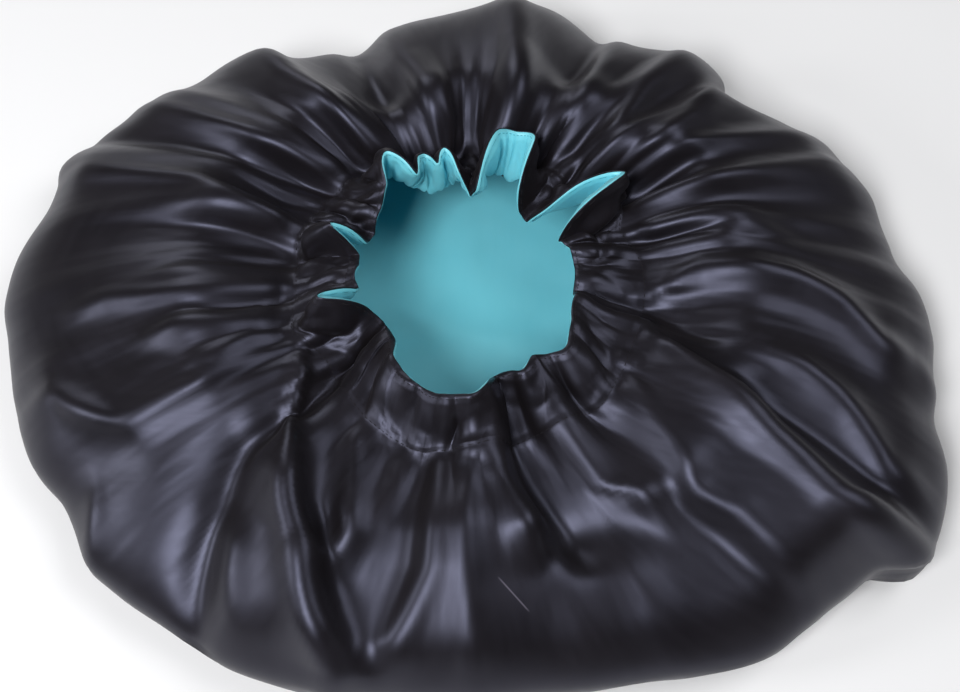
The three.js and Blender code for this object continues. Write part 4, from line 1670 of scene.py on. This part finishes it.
@dataclass(frozen=True)
class Satin:
    """Satin: long floats of thread in one direction, glossy, with slubs and soft wear.

    Attributes:
        name: The material's name.
        deep: Its darker colour.
        worn: Its lighter colour.
        gloss_tint: The colour of its reflections.
        gloss: Their strength, where 0.5 is plain.
        roughness: The mean roughness.
        sheen_tint: The colour of its fuzz.
        sheen: The fuzz's strength.
        wrinkle_height: The height of the fine wrinkles.
        wrinkle_turns: How fast they change with the direction from the crown's middle.
        wrinkle_run: How fast they change outwards, per metre.
        plain_crown: The radius of the crown that has none.
        crown_fade: Over what distance they come in past it.
        least_distance: The least distance from the crown's middle that counts for them.
        thread_pitch: The pitch of the floats.
        float_slant: How far aslant they run.
        float_relief: The height of the floats and the slubs.
        float_share: The floats' share of it beside the slubs.
        slub_scale: How fast the slubs change across and along the cloth, per metre.
        wear_scale: How fast the wear changes, per metre.
        wear_from: The wear noise's value at which the lighter colour begins.
        wear_gain: How fast the lighter colour comes in with it.
        slub_gain: How fast it comes in with the slubs.
        uneven_gloss: How far the wear and the slubs change the roughness.
        snag: Whether a pulled thread shows on the near side.
        snag_colour: Its colour.
        snag_start: The pulled thread's start on the floor plan.
        snag_way: The direction that it runs in.
        snag_half_length: Half of its length.
        snag_half_width: Half of its width.
        snag_ends: The power by which its ends fade.
    """

    name: str
    deep: Colour
    worn: Colour
    gloss_tint: Colour
    gloss: float
    roughness: float
    sheen_tint: Colour
    sheen: float
    wrinkle_height: float = 1.0 * MM
    wrinkle_turns: float = 9.0
    wrinkle_run: float = 16.0
    plain_crown: float = 0.13
    crown_fade: float = 0.1
    least_distance: float = 10 * MM
    thread_pitch: float = 0.35 * MM
    float_slant: float = 0.2
    float_relief: float = 0.1 * MM
    float_share: float = 0.35
    slub_scale: tuple[float, float, float] = (240.0, 26.0, 1.0)
    wear_scale: float = 22.0
    wear_from: float = 0.3
    wear_gain: float = 1.4
    slub_gain: float = 0.3
    uneven_gloss: tuple[float, float] = (0.14, 0.1)
    snag: bool = False
    snag_colour: Colour = (0.11, 0.1, 0.13)
    snag_start: tuple[float, float] = (12.8 * MM, -134.4 * MM)
    snag_way: tuple[float, float] = (0.72, -0.69)
    snag_half_length: float = 8.5 * MM
    snag_half_width: float = 0.45 * MM
    snag_ends: float = 6.0

    def snag_mark(self, make: Shader) -> Socket:
        """A pulled thread: 1 on a short line, fading to 0 at its sides and ends.

        Args:
            make: The material.

        Returns:
            How much of the thread shows.
        """
        x, y, _ = make.split(make.add("ShaderNodeTexCoord", "Object"))
        x, y = x - self.snag_start[0], y - self.snag_start[1]
        right, up = self.snag_way
        along = x * right + y * up
        off = y * right - x * up
        beside = 1.0 - (off.absolute() / self.snag_half_width).clamped()
        past = (along - self.snag_half_length).absolute() / self.snag_half_length
        return beside * (1.0 - past.clamped() ** self.snag_ends)

    def wrinkles(self, make: Shader, cut: Socket, fine: Socket) -> Socket:
        """The fine wrinkles that run towards the opening, as a bump.

        They are a noise of the direction and the distance from the middle of the flat cut, which
        changes quickly round the opening and slowly outwards. The crown has none.

        Args:
            make: The material.
            cut: The place on the flat cut.
            fine: The bump of the threads, which lies over the wrinkles.

        Returns:
            The bumped normal.
        """
        x, y, _ = make.split(cut)
        away = (x * x + y * y + self.least_distance**2) ** 0.5
        place = make.add(
            "ShaderNodeCombineXYZ",
            in0=x / away * self.wrinkle_turns,
            in1=y / away * self.wrinkle_turns,
            in2=away * self.wrinkle_run,
        )
        noise = make.add("ShaderNodeTexNoise", Vector=place, Scale=1.0, Detail=2.0, Roughness=0.5)
        height = noise * ((away - self.plain_crown) / self.crown_fade).clamped()
        return make.add(
            "ShaderNodeBump", Strength=1.0, Distance=self.wrinkle_height, Height=height, Normal=fine
        )

    def material(self) -> bpy.types.Material:
        """The satin's material, patterned on the flat cut of its ply.

        Slubs are a noise drawn out along the cut's Y, and wear is a cloudy noise. The floats are
        two sines that cross at a right angle, a little aslant.

        Returns:
            The material.
        """
        make = Shader(self.name)
        cut = make.add("ShaderNodeUVMap", settings={"uv_map": "flat_cut"})
        drawn = make.add("ShaderNodeMapping", Vector=cut, Scale=self.slub_scale)
        slubs = make.add("ShaderNodeTexNoise", Vector=drawn, Scale=1.0, Detail=3.0)
        cloudy = make.add("ShaderNodeTexNoise", Vector=cut, Scale=self.wear_scale, Detail=4.0)
        x, y, _ = make.split(cut)
        turns = 2 * np.pi / self.thread_pitch
        warp = ((x + y * self.float_slant) * turns).sine()
        weft = ((y - x * self.float_slant) * (turns / 2)).sine()
        relief = (warp * 0.5 + weft * 0.25) * self.float_share + slubs
        bump = make.add(
            "ShaderNodeBump", Strength=0.14, Distance=self.float_relief, Height=relief
        )
        bump = self.wrinkles(make, cut, bump)
        wear = (cloudy - self.wear_from) * self.wear_gain + slubs * self.slub_gain
        colour = make.mix(wear, self.deep, self.worn)
        if self.snag:
            colour = make.mix(self.snag_mark(make), colour, self.snag_colour)
        by_wear, by_slubs = self.uneven_gloss
        shown = make.add(
            "ShaderNodeBsdfPrincipled",
            Base_Color=colour,
            Roughness=self.roughness + (cloudy - 0.5) * by_wear + (slubs - 0.5) * by_slubs,
            Specular_IOR_Level=self.gloss,
            Specular_Tint=self.gloss_tint,
            Sheen_Weight=self.sheen,
            Sheen_Tint=self.sheen_tint,
            Sheen_Roughness=0.5,
            Normal=bump,
        )
        return make.finish(shown)


@dataclass(frozen=True)
class SpunThread:
    """Spun polyester thread: matt, with fine fibres across its twist."""

    name: str
    deep: Colour
    worn: Colour

    def material(self) -> bpy.types.Material:
        """The thread's material: fibres are a fine noise of the place.

        Returns:
            The material.
        """
        make = Shader(self.name)
        place = make.add("ShaderNodeTexCoord", "Object")
        fibres = make.add("ShaderNodeTexNoise", Vector=place, Scale=3500.0, Detail=2.0)
        bump = make.add("ShaderNodeBump", Strength=0.4, Distance=0.05 * MM, Height=fibres)
        shown = make.add(
            "ShaderNodeBsdfPrincipled",
            Base_Color=make.mix(fibres, self.deep, self.worn),
            Roughness=fibres * 0.2 + 0.7,
            Specular_IOR_Level=0.2,
            Normal=bump,
        )
        return make.finish(shown)


@dataclass(frozen=True)
class WovenElastic:
    """White woven elastic: ribs along the strip, crossed by fine weft."""

    name: str
    shaded_groove: Colour
    rib: Colour
    rib_pitch: float = 1.6 * MM
    weft_pitch: float = 0.7 * MM

    def material(self) -> bpy.types.Material:
        """The elastic's material: ribs and weft are sines across and along the strip.

        Its colour is darker where they are low, as painted shade in the grooves.

        Returns:
            The material.
        """
        make = Shader(self.name)
        along, across, _ = make.split(make.add("ShaderNodeUVMap", settings={"uv_map": "flat_cut"}))
        ribs = (across * (2 * np.pi / self.rib_pitch)).sine() * 0.5 + 0.5
        weft = (along * (2 * np.pi / self.weft_pitch)).sine() * 0.5 + 0.5
        bump = make.add(
            "ShaderNodeBump", Strength=0.5, Distance=0.15 * MM, Height=ribs * 0.7 + weft * 0.3
        )
        shown = make.add(
            "ShaderNodeBsdfPrincipled",
            # Painted shade: the base colour darkens in the grooves, where the ribs and weft are
            # low.
            Base_Color=make.mix(ribs * 0.7 + weft * 0.3, self.shaded_groove, self.rib),
            Roughness=0.9 - ribs * 0.1,
            Normal=bump,
        )
        return make.finish(shown)


Finish = Satin | SpunThread | WovenElastic

BLACK_SATIN = Satin(
    name="black satin",
    deep=(0.0046, 0.0036, 0.0039),
    worn=(0.0094, 0.0075, 0.008),
    gloss_tint=(0.67, 0.7, 1.0),
    gloss=0.5,
    roughness=0.39,
    sheen_tint=(0.8, 0.75, 0.8),
    sheen=0.02,
    snag=True,
)
TURQUOISE_SATIN = Satin(
    name="turquoise satin",
    deep=(0.175, 0.64, 0.75),
    worn=(0.23, 0.71, 0.82),
    gloss_tint=(0.85, 1.0, 1.0),
    gloss=0.6,
    roughness=0.38,
    sheen_tint=(0.7, 0.95, 1.0),
    sheen=0.06,
    wrinkle_height=0.6 * MM,
)
BLACK_THREAD = SpunThread("black thread", (0.009, 0.008, 0.01), (0.02, 0.018, 0.023))
TURQUOISE_THREAD = SpunThread("turquoise thread", (0.06, 0.3, 0.38), (0.1, 0.43, 0.52))
# The elastic's first colour is painted shade for its grooves, and the second is its own white.
WHITE_ELASTIC = WovenElastic("white elastic", (0.6, 0.59, 0.56), (0.84, 0.83, 0.8))


@dataclass
class Lamp:
    """A soft, white, square lamp: where it stands, its side's length and its power."""

    name: str
    place: tuple[float, float, float]
    size: float
    watts: float

    def build(self) -> None:
        """Adds the lamp, turned towards the bonnet's middle."""
        data = bpy.data.lights.new(self.name, "AREA")
        data.size, data.energy = self.size, self.watts
        made = bpy.data.objects.new(self.name, data)
        x, y, z = self.place
        made.location = self.place
        made.rotation_euler = (np.arctan2(np.hypot(x, y), z), 0.0, np.arctan2(-y, -x) - np.pi / 2)
        bpy.context.scene.collection.objects.link(made)


@dataclass
class Studio:
    """A pale floor, soft lamps and the camera of the photograph.

    Attributes:
        look_at: The point in the middle of the picture.
        distance: How far from it the camera stands.
        elevation: The camera's angle over the floor, in degrees.
        focal_pixels: The focal length in pixels of a picture that is image_width wide.
        image_width: That picture's width in pixels.
        sensor: The camera's sensor width in millimetres.
        nearest: The nearest distance that the camera shows.
        floor_size: The length of the floor's sides.
        world_colour: The colour of the light from all around.
        world_strength: Its strength.
        lamps: The lamps.
    """

    look_at: tuple[float, float, float] = (5.9 * MM, -4.7 * MM, 0.0)
    distance: float = 640 * MM
    elevation: float = 62.0
    focal_pixels: float = 1374.0
    image_width: float = 960.0
    sensor: float = 36.0
    nearest: float = 10 * MM
    floor_size: float = 12.0
    world_colour: Colour = (0.93, 0.95, 1.0)
    world_strength: float = 0.07
    lamps: tuple[Lamp, ...] = (
        Lamp("window over the near side", (-0.44, -0.72, 1.1), 0.45, 14.5),
        Lamp("window low on the left", (-1.1, -0.25, 0.6), 0.36, 4.5),
        Lamp("window behind on the left", (-0.5, 1.1, 0.7), 0.6, 3.6),
        Lamp("reflector on the right", (0.8, 0.1, 1.2), 0.8, 7.2),
    )

    def camera(self) -> None:
        """Places the camera at the photograph's angle, looking along +Y and down."""
        data = bpy.data.cameras.new("camera")
        data.sensor_width = self.sensor
        data.lens = self.sensor * self.focal_pixels / self.image_width
        data.clip_start = self.nearest
        made = bpy.data.objects.new("camera", data)
        tilt = np.radians(self.elevation)
        back = self.distance * np.array([0, -np.cos(tilt), np.sin(tilt)])
        made.location = np.array(self.look_at) + back
        made.rotation_euler = (np.pi / 2 - tilt, 0.0, 0.0)
        bpy.context.scene.collection.objects.link(made)
        bpy.context.scene.camera = made

    def floor(self) -> None:
        """Lays the pale floor."""
        half = self.floor_size / 2
        corners = np.array([[-half, -half, 0], [half, -half, 0], [half, half, 0], [-half, half, 0]])
        made = new_object("floor", corners, np.array([[0, 1, 2, 3]]))
        make = Shader("pale floor")
        shown = make.add("ShaderNodeBsdfPrincipled", Base_Color=(0.86, 0.86, 0.87), Roughness=0.9)
        made.data.materials.append(make.finish(shown))

    def world(self) -> None:
        """Surrounds the scene with plain pale light."""
        world = bpy.data.worlds.new("world")
        bpy.context.scene.world = world
        world.use_nodes = True
        back = world.node_tree.nodes["Background"]
        back.inputs["Color"].default_value = (*self.world_colour, 1.0)
        back.inputs["Strength"].default_value = self.world_strength

    def build(self) -> None:
        """Sets up the camera, the floor and the light."""
        self.camera()
        self.floor()
        self.world()
        for lamp in self.lamps:
            lamp.build()
        bpy.context.scene.view_settings.view_transform = "Standard"


@dataclass
class Bonnet:
    """The whole bonnet: its plies, its elastic and its stitching."""

    form: BonnetForm = field(default_factory=BonnetForm)
    cut_diameter: float = 680 * MM

    def dress(self, piece: bpy.types.Object, finish: Finish, node: str) -> None:
        """Gives a piece its finish and its place in the frame.

        Args:
            piece: The piece.
            finish: What it is made of.
            node: The CAD node that it stands for.
        """
        made = bpy.data.materials.get(finish.name) or finish.material()
        piece.data.materials.append(made)
        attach(piece, "root")
        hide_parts(node)
        LOG.info("%s: %d faces", piece.name, len(piece.data.polygons))

    def sew(self, plies: Plies) -> None:
        """Makes the rows of stitching.

        Args:
            plies: The plies that carry them.
        """
        sewing = Stitching(plies)
        all_round = int(self.form.columns / sewing.stitch_columns)
        edge = self.form.casing_width - plies.stitch_inset
        rows = (
            ("edge_needle_thread", Side.OUTSIDE, edge, BLACK_THREAD),
            ("edge_bobbin_thread", Side.INSIDE, edge, TURQUOISE_THREAD),
            ("channel_needle_thread", Side.OUTSIDE, plies.stitch_inset, BLACK_THREAD),
            ("channel_bobbin_thread", Side.INSIDE, plies.stitch_inset, TURQUOISE_THREAD),
        )
        for node, side, place, finish in rows:
            piece = sewing.row(node.replace("thread", "stitches"), side, place, 0.0, all_round)
            self.dress(piece, finish, node)
        place = self.form.casing_width - sewing.closing_inset
        count, start = sewing.closing_stitches, sewing.closing_start
        closing = sewing.row("closing_row", Side.OUTSIDE, place, start, count)
        self.dress(closing, BLACK_THREAD, "closing_stitches")
        self.dress(sewing.loop("edge_seam", edge), BLACK_THREAD, "edge_seam_thread")

    def build(self) -> None:
        """Makes every piece."""
        plies = Plies(self.form)
        outer = plies.build(Side.OUTSIDE, "outer_satin")
        self.dress(outer, BLACK_SATIN, "outer_shell")
        lining = plies.build(Side.INSIDE, "lining_satin")
        self.dress(lining, TURQUOISE_SATIN, "lining")
        elastic = Elastic(plies)
        self.dress(elastic.strip("elastic_strip"), WHITE_ELASTIC, "elastic_band")
        zigzag = elastic.lap_zigzag("elastic_lap_zigzag")
        self.dress(zigzag, BLACK_THREAD, "elastic_lap_stitches")
        self.sew(plies)


def main() -> None:
    """Builds the studio and the bonnet."""
    logging.basicConfig(level=logging.INFO, format="%(name)s: %(message)s")
    Studio().build()
    Bonnet().build()
    bpy.context.view_layer.update()


if __name__ == "__main__":
    main()
